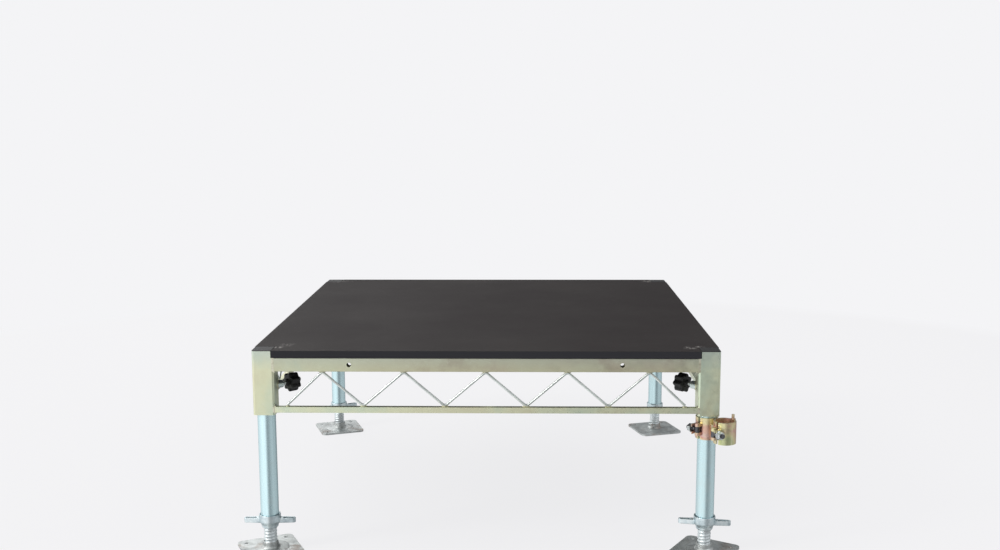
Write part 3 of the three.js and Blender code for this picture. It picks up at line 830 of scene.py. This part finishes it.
def fill_strip(low, high, side, seed):
    """The weld that fills the post's round corner flush with the outer face, at one end."""
    outer_y = rail_low.y
    edge = POST_SIDE - POST_CORNER
    bend = POST_CORNER - 0.1 * MM
    steps = 6
    arc = []
    for i in range(steps + 1):
        a = TAU / 4 * i / steps
        arc.append((edge + bend * math.sin(a), bend * (1 - math.cos(a))))
    rows = max(4, round((high - low) / (2 * MM)))
    loops = []
    for k in range(rows + 1):
        z = low + (high - low) * k / rows
        wander = 0.15 * MM * noise.noise(Vector((seed, 0.9 * k, 0)))
        bulge = -0.05 * MM + 0.12 * MM * noise.noise(Vector((seed + 9, 0.7 * k, 0)))
        end = POST_SIDE + 1.2 * MM + wander
        outline = [(x, y + 0.05 * MM) for x, y in arc]
        outline += [(end, POST_CORNER), (end, 0.05 * MM), ((edge + end) / 2, bulge)]
        loops.append([(side * (HALF_SIDE - x), outer_y + y, z) for x, y in outline])
    return skin(loops)


def corner_bead(x, z, front, back, radius, seed):
    """A rippled weld bead from front to back."""
    start = Vector((x, front, z))
    stop = Vector((x, back, z))
    steps = max(6, round((stop - start).length / (1.6 * MM)))
    path = []
    for i in range(steps + 1):
        t = i / steps
        drift = 0.5 * MM * noise.noise(Vector((seed, 4 * t, 1)))
        path.append(start.lerp(stop, t) + Vector((0, 0, drift)))

    def ripple(i):
        return 1 + 0.14 * math.sin(2.1 * i) + 0.1 * noise.noise(Vector((seed, i, 3)))

    return swept(path, radius, 8, Vector((0, 0, 1)), ripple)


def end_welds():
    """The welds that hold one side's rail and chord to its two posts."""
    beads = []
    for side in (-1, 1):
        post_face = side * (HALF_SIDE - POST_SIDE - 0.2 * MM)
        beads.append(fill_strip(rail_low.z, rail_high.z - 0.3 * MM, side, 3 + side))
        beads.append(fill_strip(chord_low.z, chord_high.z, side, 7 + side))
        for tube_low, tube_high, seed in ((rail_low, rail_high, 11), (chord_low, chord_high, 15)):
            front = tube_low.y + 2 * MM
            back = tube_high.y - 1 * MM
            under = tube_low.z - 0.8 * MM
            beads.append(corner_bead(post_face, under, front, back, 2.4 * MM, seed + side))
        over = chord_high.z + 0.8 * MM
        front = chord_low.y + 2 * MM
        back = chord_high.y - 1 * MM
        beads.append(corner_bead(post_face, over, front, back, 2.2 * MM, 21 + side))
    return joined(*beads)


def deck_mesh():
    """The notched panel with its edges eased."""
    edge = deck_high.x
    notch = HALF_SIDE - DECK_NOTCH
    outline = []
    for x, y in ((1, -1), (1, 1), (-1, 1), (-1, -1)):
        across = [(notch * x, edge * y), (notch * x, notch * y), (edge * x, notch * y)]
        outline += across if x * y < 0 else across[::-1]
    panel = prism(outline, deck_low.z, deck_high.z)
    return softened(panel, 1.2 * MM, 3)


def screw_mesh():
    """A countersunk deck screw's head with a cross recess, its top at z = 0."""
    head = turned([(1.2 * MM, -4 * MM), (4.4 * MM, -0.5 * MM), (4.4 * MM, 0.0), (3.6 * MM, 0.12 * MM)], 20)
    wide = 2.4 * MM
    thin = 0.45 * MM
    deep = 1.5 * MM
    one = span((-wide, -thin, -deep), (wide, thin, deep))
    two = span((-thin, -wide, -deep), (thin, wide, deep))
    return cut(head, one, two)


def screw_spots():
    """Where the deck is screwed down: along the rails and the stringer."""
    line = HALF_SIDE - SCREW_INSET
    spots = []
    for x in (-SCREW_SPACING, 0, SCREW_SPACING):
        spots += [(x, -line), (x, line), (-line, x), (line, x)]
    return spots + STRINGER_SCREWS


post = post_mesh()
plug = plug_mesh()
rail = rail_mesh()
chord = softened(side_tube(chord_low, chord_high, CHORD_WALL, CHORD_CORNER), 0.3 * MM, 1, 50)
path, corners = rod_path()
zigzag = swept(path, ROD_RADIUS)
bend_welds = rod_welds(corners)
post_welds = end_welds()

for side, angle in SIDES.items():
    around = turn(angle)
    piece(f"rail_{side}", rail, around, frame_x, "frame", "yellow_zinc", f"top_rail_{side}")
    piece(f"chord_{side}", chord, around, chord_zinc, "frame", "yellow_zinc", f"bottom_chord_{side}")
    piece(f"rod_{side}", zigzag, around, rod_zinc, "frame", "blue_zinc", f"truss_rod_{side}")
    piece(f"rod_welds_{side}", bend_welds, around, weld_zinc, "frame", "yellow_zinc", smooth=180)
    piece(f"end_welds_{side}", post_welds, around, weld_zinc, "frame", "yellow_zinc", smooth=60)

for name in CORNERS:
    place = corner_place(name)
    piece(f"post_{name}", post, place, frame_z, "frame", "yellow_zinc", f"corner_post_{name}")
    piece(f"plug_{name}", plug, place, cap_plastic, "frame", "black_plastic", f"corner_plug_{name}")

piece("deck", deck_mesh(), AS_DRAWN, film, "frame", "deck_film", "deck_panel")
screw = screw_mesh()
screws = []
for i, (x, y) in enumerate(screw_spots()):
    screws.append(moved(screw.copy(), turn(1.7 * i), shift(x, y, deck_high.z - SCREW_SUNK)))
piece("deck_screws", joined(*screws), AS_DRAWN, screw_plastic, "frame", "black_plastic")

stringer_low, stringer_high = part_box("deck_stringer")
along_low = Vector((stringer_low.y, -stringer_high.x, stringer_low.z))
along_high = Vector((stringer_high.y, -stringer_low.x, stringer_high.z))
stringer = side_tube(along_low, along_high, RAIL_WALL, RAIL_CORNER)
piece("stringer", stringer, turn(TAU / 4), frame_x, "frame", "yellow_zinc", "deck_stringer")

# ---- Legs -------------------------------------------------------------------------


def thread(radius, depth, pitch, low, high, around=40, per_turn=10, taper=0.0):
    """A right-hand rounded thread: loops of points whose radius follows the helix."""
    rows = round((high - low) / pitch * per_turn)
    loops = []
    for i in range(rows + 1):
        z = low + (high - low) * i / rows
        fade = 1.0
        if taper:
            fade = min(1.0, (z - low) / taper, (high - z) / taper)
        loop = []
        for a in angles_round(around):
            phase = TAU * z / pitch - a
            groove = 0.5 - 0.5 * math.tanh(2.2 * math.cos(phase)) / math.tanh(2.2)
            size = radius - depth * (groove * fade + 1 - fade)
            loop.append((size * math.cos(a), size * math.sin(a), z))
        loops.append(loop)
    return loops


def leg_mesh():
    """The leg tube, its ends chamfered."""
    ease = 0.7 * MM
    inside = LEG_RADIUS - LEG_WALL
    low = leg_low.z
    high = leg_high.z
    profile = [
        (LEG_RADIUS - ease, low), (LEG_RADIUS, low + ease),
        (LEG_RADIUS, high - ease), (LEG_RADIUS - ease, high),
        (inside + ease, high), (inside, high - ease),
        (inside, low + ease), (inside + ease, low),
    ]
    return turned(profile, 72, ring=True)


def stem_mesh():
    """The jack's threaded tube."""
    outer = thread(STEM_RADIUS, THREAD_DEPTH, JACK_PITCH, stem_low.z, stem_high.z, taper=4 * MM)
    inside = STEM_RADIUS - STEM_WALL
    inner = [circle(inside, z, len(outer[0])) for z in (stem_high.z, stem_low.z)]
    return skin(outer + inner, ring=True)


def plate_mesh():
    """The base plate, its collar and the weld round it, with a shallow pressed dome."""
    outline = rounded_outline(PLATE_SIDE, PLATE_SIDE, PLATE_CORNER, 8)
    plate = prism(outline, 0.0, PLATE_THICKNESS)
    bore = STEM_RADIUS + 0.3 * MM
    top = PLATE_THICKNESS
    profile = [
        (bore, top - 1 * MM), (52 * MM, top - 1 * MM), (50 * MM, top + 0.1 * MM),
        (44 * MM, top + 1.6 * MM), (30 * MM, top + 2.6 * MM),
        (25.5 * MM, top + 3.2 * MM), (24 * MM, top + 5.2 * MM),
        (COLLAR_RADIUS, top + 8 * MM), (COLLAR_RADIUS - 0.6 * MM, COLLAR_TOP - 1 * MM),
        (COLLAR_RADIUS - 1.6 * MM, COLLAR_TOP), (bore, COLLAR_TOP),
    ]
    hub = turned(profile, 64, ring=True)
    holes = []
    for x, y in SQUARE:
        hole = rod(PLATE_HOLE_RADIUS, -10 * MM, 20 * MM, 28)
        holes.append(moved(hole, shift(x * PLATE_HOLE_OFFSET, y * PLATE_HOLE_OFFSET)))
    return softened(weld(cut(plate, *holes), hub), 0.7 * MM, 2, 50)


def bar_outline(root, wide, tip, radius):
    """A bar along +X, from its root to a half-round end about its tip."""
    points = [(root, -wide)]
    for i in range(13):
        a = TAU * (i / 24 - 0.25)
        points.append((tip + radius * math.cos(a), radius * math.sin(a)))
    points.append((root, wide))
    return points


def wing_mesh():
    """One wing along +X: a bar with a rounded end and a recess in its top."""
    root = NUT_RIM_RADIUS - 4 * MM
    wide = 9 * MM
    end = 6.5 * MM
    rim = 3.2 * MM
    tip = WING_REACH - end
    low = WING_CENTRE - WING_HEIGHT / 2
    bar = prism(bar_outline(root, wide, tip, end), low, WING_CENTRE + WING_HEIGHT / 2)
    recess = low + 4 * MM
    pocket = bar_outline(root + 11 * MM, wide - rim - 1 * MM, tip, end - rim)
    return cut(bar, prism(pocket, recess, recess + 20 * MM))


def nut_mesh():
    """The cast jack nut: a cup under the leg, a waist over the thread, and two wings."""
    bore = STEM_RADIUS + 0.2 * MM
    low = nut_low.z
    high = nut_high.z
    cup = LEG_RADIUS + 1.2 * MM
    seat = leg_low.z - 0.3 * MM
    profile = [
        (bore, low), (bore + 3.4 * MM, low), (bore + 4.6 * MM, low + 3 * MM),
        (bore + 5.2 * MM, low + 7 * MM), (bore + 8 * MM, low + 12 * MM),
        (NUT_RIM_RADIUS - 0.6 * MM, low + 17 * MM),
        (NUT_RIM_RADIUS, low + 21 * MM), (NUT_RIM_RADIUS, high - 1 * MM), (NUT_RIM_RADIUS - 1 * MM, high),
        (cup, high), (cup, seat), (bore, seat),
    ]
    body = turned(profile, 64, ring=True)
    wings = [moved(wing_mesh(), turn(a)) for a in (0.0, TAU / 2)]
    return cast(weld(body, *wings), 0.9 * MM, 5)


def boss_mesh():
    """The threaded boss, coped over the post's rounded corner."""
    boss = rod(BOSS_RADIUS, BOSS_START, BOSS_END, 48)
    bore = rod(STUD_HOLE_RADIUS, 10 * MM, STUD_END, 32)
    hollow = moved(cut(softened(boss, 0.9 * MM, 2), bore), ALONG_X)
    side = POST_SIDE + 0.2 * MM
    far = 2 * BOSS_RADIUS
    corner = moved(prism(rounded_outline(side, side, POST_CORNER), -far, far), turn(TAU / 8))
    return cut(hollow, corner)


def boss_weld():
    """The bead where the boss meets the post's two walls."""
    reach = POST_SIDE / 2 * math.sqrt(2)
    limit = reach - POST_CORNER * (math.sqrt(2) - 1)
    path = []
    steps = 72
    for a in angles_round(steps):
        sideways = BOSS_RADIUS * math.cos(a)
        distance = min(reach - abs(sideways), limit)
        path.append(Vector((distance + 0.6 * MM, sideways, BOSS_RADIUS * math.sin(a))))
    loops = []
    for i, point in enumerate(path):
        along = (path[(i + 1) % steps] - path[i - 1]).normalized()
        side = along.cross(Vector((1, 0, 0))).normalized()
        other = along.cross(side)
        size = 1.9 * MM * (1 + 0.12 * math.sin(2.4 * i) + 0.12 * noise.noise(Vector((i * 0.4, 2, 0))))
        loops.append([point + size * (math.cos(t) * side + math.sin(t) * other) for t in angles_round(8)])
    return skin(loops, ring=True)


def stud_mesh():
    """The clamp stud: a fine thread with a plain tip."""
    start = LEG_RADIUS + 0.3 * MM
    tip = [circle(3.2 * MM, start, 24), circle(STUD_RADIUS - 0.8 * MM, start + 0.8 * MM, 24)]
    winding = thread(STUD_RADIUS, 0.55 * MM, STUD_PITCH, start + 3 * MM, STUD_END, 24, 6)
    return moved(skin(tip + winding), ALONG_X)


def knob_mesh():
    """The star knob, turned with seven lobes, over a short hub."""
    face = KNOB_FACE
    end = KNOB_END
    full = KNOB_RADIUS
    profile = [
        (STUD_RADIUS + 0.2 * MM, KNOB_HUB, 0),
        (HUB_RADIUS - 1 * MM, KNOB_HUB, 0),
        (HUB_RADIUS, KNOB_HUB + 1 * MM, 0),
        (HUB_RADIUS + 0.4 * MM, face - 1 * MM, 0),
        (HUB_RADIUS + 3 * MM, face + 0.2 * MM, 0.05),
        (full - 3 * MM, face + 0.4 * MM, 0.7),
        (full - 0.9 * MM, face + 1.2 * MM, 0.95),
        (full, face + 3 * MM, 1),
        (full, face + 8 * MM, 1),
        (full, end - 7 * MM, 1),
        (full - 0.3 * MM, end - 3 * MM, 1),
        (full - 1.6 * MM, end - 1 * MM, 0.9),
        (full - 4.5 * MM, end - 0.2 * MM, 0.6),
        (full - 9 * MM, end, 0.15),
        (9 * MM, end - 0.3 * MM, 0),
        (7.6 * MM, end - 1.6 * MM, 0),
        (2 * MM, end - 1.8 * MM, 0),
    ]
    loops = []
    for radius, x, share in profile:
        loop = []
        for a in angles_round(KNOB_LOBES * 20):
            size = radius + KNOB_LOBE * share * math.cos(KNOB_LOBES * a)
            loop.append((x, size * math.cos(a), size * math.sin(a)))
        loops.append(loop)
    return skin(loops)


leg = leg_mesh()
stem = stem_mesh()
plate = plate_mesh()
nut = nut_mesh()
boss = boss_mesh()
boss_bead = boss_weld()
stud = stud_mesh()
knob = knob_mesh()

for name, (x, y) in CORNERS.items():
    upright = shift(x * POST_CENTRE, y * POST_CENTRE)
    plate_place = upright @ turn(math.radians(PLATE_TURNS[name]))
    nut_place = upright @ turn(math.radians(WING_TURNS[name]))
    clamp = clamp_place(name)
    jack = f"jack_{name}"
    nut_name = f"nut_{name}"
    stud_name = f"stud_{name}"
    knob_name = f"knob_{name}"
    piece(f"leg_{name}", leg, upright, leg_zinc, f"leg_{name}", "blue_zinc", f"leg_tube_{name}")
    piece(f"stem_{name}", stem, upright, stem_zinc, jack, "dull_zinc", f"jack_stem_{name}", smooth=60)
    piece(f"plate_{name}", plate, plate_place, plate_zinc, jack, "dull_zinc", f"base_plate_{name}")
    piece(nut_name, nut, nut_place, nut_zinc, nut_name, "blue_zinc", f"jack_nut_{name}", smooth=180)
    piece(f"boss_{name}", boss, clamp, boss_zinc, "frame", "blue_zinc", f"lock_boss_{name}")
    piece(f"boss_weld_{name}", boss_bead, clamp, weld_zinc, "frame", "yellow_zinc", smooth=60)
    piece(stud_name, stud, clamp, bolt_zinc, stud_name, "blue_zinc", f"lock_stud_{name}", smooth=60)
    piece(knob_name, knob, clamp, plastic, knob_name, "black_plastic", f"lock_knob_{name}", smooth=50)

# ---- Coupler ------------------------------------------------------------------------

# Each half is drawn round its tube's axis, along Z, with its back towards +X and its
# swing bolt at +Y.
BAND_INSIDE = LEG_RADIUS + 0.4 * MM
BAND_OUTSIDE = BAND_INSIDE + 5 * MM
BAND_HALF = 29 * MM
COUPLER_REACH = 61 * MM
HINGE = 32 * MM
BOLT = 39.5 * MM
PIN_RADIUS = 4 * MM
RIVET_RADIUS = 7 * MM
LEG_PIN_PROUD = 2 * MM
ARM_PIN_PROUD = 11.5 * MM
BOLT_PIVOT = 3 * MM
EYE_HALF = 8 * MM
EYE_RADIUS = 7 * MM
CHEEK_OUTER = 16 * MM
BOLT_RADIUS = 6 * MM
BOLT_PITCH = 1.75 * MM
BACK_HALF = 14 * MM
FORK_FACE = -13 * MM
FORK_PLATE = 6 * MM
FORK_HALF = 13 * MM
FORK_TIP = 11 * MM
NUT_FACE = FORK_FACE - 0.6 * MM
NUT_DEPTH = 12 * MM
BOLT_END = -31 * MM
FIT = 0.3 * MM


def band(start, stop):
    """Part of a round band, from one angle to another in degrees."""
    steps = 28
    angles = [math.radians(start + (stop - start) * i / steps) for i in range(steps + 1)]
    outline = [(BAND_OUTSIDE * math.cos(a), BAND_OUTSIDE * math.sin(a)) for a in angles]
    outline += [(BAND_INSIDE * math.cos(a), BAND_INSIDE * math.sin(a)) for a in reversed(angles)]
    return prism(outline, -BAND_HALF, BAND_HALF)


def eye(radius, x, y, low, high):
    return moved(rod(radius, low, high, 32), shift(x, y))


def saddle_mesh(pin_proud):
    """The saddle: half a band, its back block, the hinge's middle eye, two cheeks and both pins."""
    middle = EYE_HALF - FIT
    half_band = band(-84, 84)
    for low, high in ((-BAND_HALF - MM, -EYE_HALF), (EYE_HALF, BAND_HALF + MM)):
        half_band = cut(half_band, eye(EYE_RADIUS + FIT, 0, -HINGE, low, high))
    face = (COUPLER_REACH - FIT) / 2
    parts = [
        span((BAND_INSIDE + 2.5 * MM, -BACK_HALF, -BACK_HALF), (face, BACK_HALF, BACK_HALF)),
        eye(EYE_RADIUS, 0, -HINGE, -middle, middle),
        span((0, -HINGE, -middle), (EYE_RADIUS, -BAND_INSIDE - MM, middle)),
    ]
    for low, high in ((-CHEEK_OUTER, -EYE_HALF), (EYE_HALF, CHEEK_OUTER)):
        parts.append(eye(EYE_RADIUS, BOLT_PIVOT, BOLT, low, high))
        parts.append(span((MM, BAND_INSIDE + MM, low), (BOLT_PIVOT + EYE_RADIUS, BOLT, high)))
    body = weld(half_band, *parts)
    body = cut(body, moved(rod(RIVET_RADIUS + FIT, 10 * MM, COUPLER_REACH, 32), ALONG_X))
    body = softened(body, 0.9 * MM, 2, 40)
    hinge_pin = rod(PIN_RADIUS, -BAND_HALF - LEG_PIN_PROUD, BAND_HALF + pin_proud, 24, 0.6 * MM)
    bolt_pin = rod(PIN_RADIUS, -CHEEK_OUTER - MM, CHEEK_OUTER + MM, 24, 0.4 * MM)
    return joined(body, moved(hinge_pin, shift(0, -HINGE)), moved(bolt_pin, shift(BOLT_PIVOT, BOLT)))


def fork_outline():
    """The fork's section, its tip rounded about the bolt's pin."""
    reach = BOLT_PIVOT - FORK_FACE
    widest = math.asin(FORK_TIP / reach)
    back = FORK_FACE + FORK_PLATE
    outline = [(back, BAND_INSIDE - 0.5 * MM), (back, BOLT + FORK_TIP)]
    for i in range(9):
        a = math.pi - widest * (1 - i / 8)
        outline.append((BOLT_PIVOT + reach * math.cos(a), BOLT + reach * math.sin(a)))
    outline.append((FORK_FACE, BAND_INSIDE - 0.5 * MM))
    return outline


def flap_mesh():
    """The flap: the other half band, the hinge's two outer eyes and the forked end."""
    parts = []
    for low, high in ((-BAND_HALF, -EYE_HALF), (EYE_HALF, BAND_HALF)):
        parts.append(eye(EYE_RADIUS, 0, -HINGE, low, high))
        parts.append(span((-8 * MM, -HINGE, low), (-MM, -BAND_INSIDE - MM, high)))
    parts.append(prism(fork_outline(), -FORK_HALF, FORK_HALF))
    slot_half = BOLT_RADIUS + 0.7 * MM
    slot = span((-30 * MM, BOLT - 7 * MM, -slot_half), (5 * MM, BOLT + 20 * MM, slot_half))
    pin_hole = eye(PIN_RADIUS + FIT, 0, -HINGE, -BAND_HALF - 5 * MM, BAND_HALF + 5 * MM)
    saddle_eye = eye(EYE_RADIUS + FIT, 0, -HINGE, -EYE_HALF, EYE_HALF)
    body = cut(weld(band(97, 263), *parts), slot, pin_hole, saddle_eye)
    return softened(body, 0.9 * MM, 2, 40)


def swing_bolt_mesh():
    """The swing bolt: an eye on its pin and a threaded shank."""
    ring = eye(EYE_RADIUS, BOLT_PIVOT, BOLT, -EYE_HALF + 0.4 * MM, EYE_HALF - 0.4 * MM)
    hole = eye(PIN_RADIUS + FIT, BOLT_PIVOT, BOLT, -EYE_HALF, EYE_HALF)
    ring = softened(cut(ring, hole), 0.6 * MM, 2, 40)
    around = 28
    tip = [
        circle(BOLT_RADIUS - 0.8 * MM, BOLT_END, around),
        circle(BOLT_RADIUS - 0.6 * MM, BOLT_END + 0.6 * MM, around),
    ]
    winding = thread(BOLT_RADIUS, 0.8 * MM, BOLT_PITCH, BOLT_END + MM, FORK_FACE + 6 * MM, around, 8)
    plain = [circle(BOLT_RADIUS - 0.4 * MM, z, around) for z in (FORK_FACE + 7 * MM, -2.5 * MM)]
    shank = moved(skin(tip + winding + plain), ALONG_X, shift(0, BOLT))
    return joined(ring, shank)


def swing_nut_mesh():
    """The flanged nut: a hexagon with chamfered corners over a round flange."""
    outer_face = NUT_FACE - NUT_DEPTH
    flange = turned([
        (10.5 * MM, NUT_FACE - 4.2 * MM), (12 * MM, NUT_FACE - 2.6 * MM),
        (12 * MM, NUT_FACE - 0.4 * MM), (11.6 * MM, NUT_FACE),
    ])
    hexagon = rod(11 * MM, outer_face, NUT_FACE - 2 * MM, 6)
    crown = turned([
        (9.2 * MM, outer_face), (11.4 * MM, outer_face + 1.7 * MM),
        (12.5 * MM, NUT_FACE), (12.5 * MM, NUT_FACE + MM),
    ])
    hexagon = combined(hexagon, "INTERSECT", [crown])
    bore = rod(BOLT_RADIUS + 0.1 * MM, outer_face - 5 * MM, NUT_FACE + 5 * MM, 32)
    body = cut(weld(flange, hexagon), bore)
    return moved(softened(body, 0.3 * MM, 1, 40), ALONG_X, shift(0, BOLT))


leg_axis = Vector(JOINTS["coupler_turn"]["pos_m"])
swivel = Vector(JOINTS["coupler_swivel"]["pos_m"])
towards_arm = math.atan2(swivel.y - leg_axis.y, swivel.x - leg_axis.x)
coupler_place = Matrix.Translation(leg_axis) @ turn(towards_arm)
halves = [
    ("leg", "coupler", coupler_place @ turn(TAU / 2, "X"), LEG_PIN_PROUD),
    ("arm", "coupler_arm", coupler_place @ shift(COUPLER_REACH) @ turn(TAU / 2), ARM_PIN_PROUD),
]
flap = flap_mesh()
swing_bolt = swing_bolt_mesh()
swing_nut = swing_nut_mesh()
for half, body, place, pin_proud in halves:
    name = f"coupler_{half}"
    bolt = f"{name}_bolt"
    saddle = saddle_mesh(pin_proud)
    piece(f"{half}_saddle", saddle, place, coupler_zinc, body, "coupler_zinc", f"{name}_saddle")
    piece(f"{half}_flap", flap, place, coupler_zinc, body, "coupler_zinc", f"{name}_flap")
    piece(f"{half}_swing_bolt", swing_bolt, place, dark_bolt_zinc, bolt, "dull_zinc", bolt, smooth=50)
    piece(f"{half}_swing_nut", swing_nut, place, bolt_zinc, f"{name}_nut", "dull_zinc", f"{name}_nut")

rivet_low = BAND_INSIDE + MM
rivet = moved(rod(RIVET_RADIUS, rivet_low, COUPLER_REACH - rivet_low, 32, 1.2 * MM), ALONG_X)
piece("centre_rivet", rivet, coupler_place, coupler_zinc, "coupler", "coupler_zinc", "coupler_rivet")

# ---- Floor, light and camera -------------------------------------------------------------

BACKDROP = (0.905, 0.905, 0.921)
FLOOR_HALF = 14.0
FLOOR_DROP = 0.2 * MM
AIM = Vector((0, 0, 0.35))
CAMERA_PLACE = (0.09728, -3.51008, 1.18437)


def floor():
    """A pale floor that runs into the background a few metres out."""
    corners = [(x * FLOOR_HALF, y * FLOOR_HALF, 0) for x, y in SQUARE]
    mesh = mesh_from(corners, [(0, 1, 2, 3)])
    made, tree, shader = material("pale_floor")
    point = place_in(tree)
    radius = add(tree, "VectorMath", {0: point}, operation="LENGTH").outputs["Value"]
    far = level(tree, radius, 1.6, 3.6)
    feed(tree, shader, colour=(0.80, 0.775, 0.78, 1), rough=0.9, gloss=0.0)
    lift = maths(tree, "MAXIMUM", far, 0.88)
    glow = add(tree, "Emission", {"Color": (*BACKDROP, 1), "Strength": 1.0}).outputs[0]
    mixed = add(tree, "MixShader", {0: lift, 1: shader.outputs[0], 2: glow}).outputs[0]
    tree.links.new(mixed, tree.nodes["Material Output"].inputs["Surface"])
    mesh.materials.append(made)
    ground = placed("floor", mesh)
    ground.location.z = -FLOOR_DROP
    ground.visible_glossy = False


def surroundings():
    """The room that reflections see: bright to the left, grey to the right, lighter again at
    the far right, and dim low behind. The camera sees the plain backdrop."""
    world = bpy.data.worlds.new("studio")
    bpy.context.scene.world = world
    world.use_nodes = True
    tree = world.node_tree
    direction = add(tree, "TexCoord").outputs["Generated"]
    parts = add(tree, "SeparateXYZ", {0: direction})
    x = parts.outputs["X"]
    y = parts.outputs["Y"]
    z = parts.outputs["Z"]
    wide = level(tree, x, -0.28, 0.15, 1.0, 0.0)
    high = times(tree, level(tree, y, 0.2, 0.7), level(tree, z, 0.0, 0.15))
    steep = level(tree, x, -0.34, 0.10, 1.0, 0.0)
    steep = times(tree, steep, level(tree, z, 0.18, 0.40, 1.0, 0.45))
    share = blended(tree, high, wide, steep)
    far_right = level(tree, x, 0.40, 0.85, 0.0, 0.38)
    share = maths(tree, "MAXIMUM", share, far_right)
    room = blended(tree, share, (0.27, 0.28, 0.29), (1.10, 1.11, 1.12))
    low = times(tree, level(tree, y, -0.2, 0.6), level(tree, z, -0.05, 0.1, 1.0, 0.0))
    room = laid_over(tree, room, low, 0.38, (0.24, 0.26, 0.27))
    seen = add(tree, "LightPath").outputs["Is Camera Ray"]
    shown = blended(tree, seen, room, BACKDROP)
    background = tree.nodes["Background"]
    tree.links.new(shown, background.inputs["Color"])
    background.inputs["Strength"].default_value = 1.0


def soft_box(name, place, size, power, colour=(1, 1, 1)):
    """A square area light that faces the object's middle."""
    lamp = bpy.data.lights.new(name, "AREA")
    lamp.energy = power
    lamp.size = size
    lamp.color = colour
    made = placed(name, lamp)
    made.location = place
    made.rotation_euler = (AIM - Vector(place)).to_track_quat("-Z", "Y").to_euler()


def camera():
    """The photographer's place: in front, a little to the right, looking slightly down."""
    sensor = 36.0
    lens = 41.19
    yaw = math.radians(-1.16)
    pitch = math.radians(8.49)
    roll = math.radians(0.14)
    ahead = math.cos(pitch)
    forward = Vector((math.sin(yaw) * ahead, math.cos(yaw) * ahead, -math.sin(pitch)))
    right = Vector((math.cos(yaw), -math.sin(yaw), 0))
    down = forward.cross(right)
    rolled_right = math.cos(roll) * right + math.sin(roll) * down
    rolled_down = -math.sin(roll) * right + math.cos(roll) * down
    view = Matrix((rolled_right, -rolled_down, -forward)).transposed().to_4x4()
    view.translation = CAMERA_PLACE
    data = bpy.data.cameras.new("camera")
    data.sensor_width = sensor
    data.lens = lens
    made = placed("camera", data)
    made.matrix_world = view
    bpy.context.scene.camera = made


camera()
floor()
surroundings()
soft_box("key", (-7.4, -4.0, 5.6), 2.0, 300, (1.0, 0.985, 0.96))
soft_box("fill", (2.8, -1.2, 3.2), 2.4, 22, (0.95, 0.98, 1.0))
soft_box("top", (-2.4, 4.2, 4.8), 3.6, 100)
bpy.context.scene.view_settings.view_transform = "Standard"
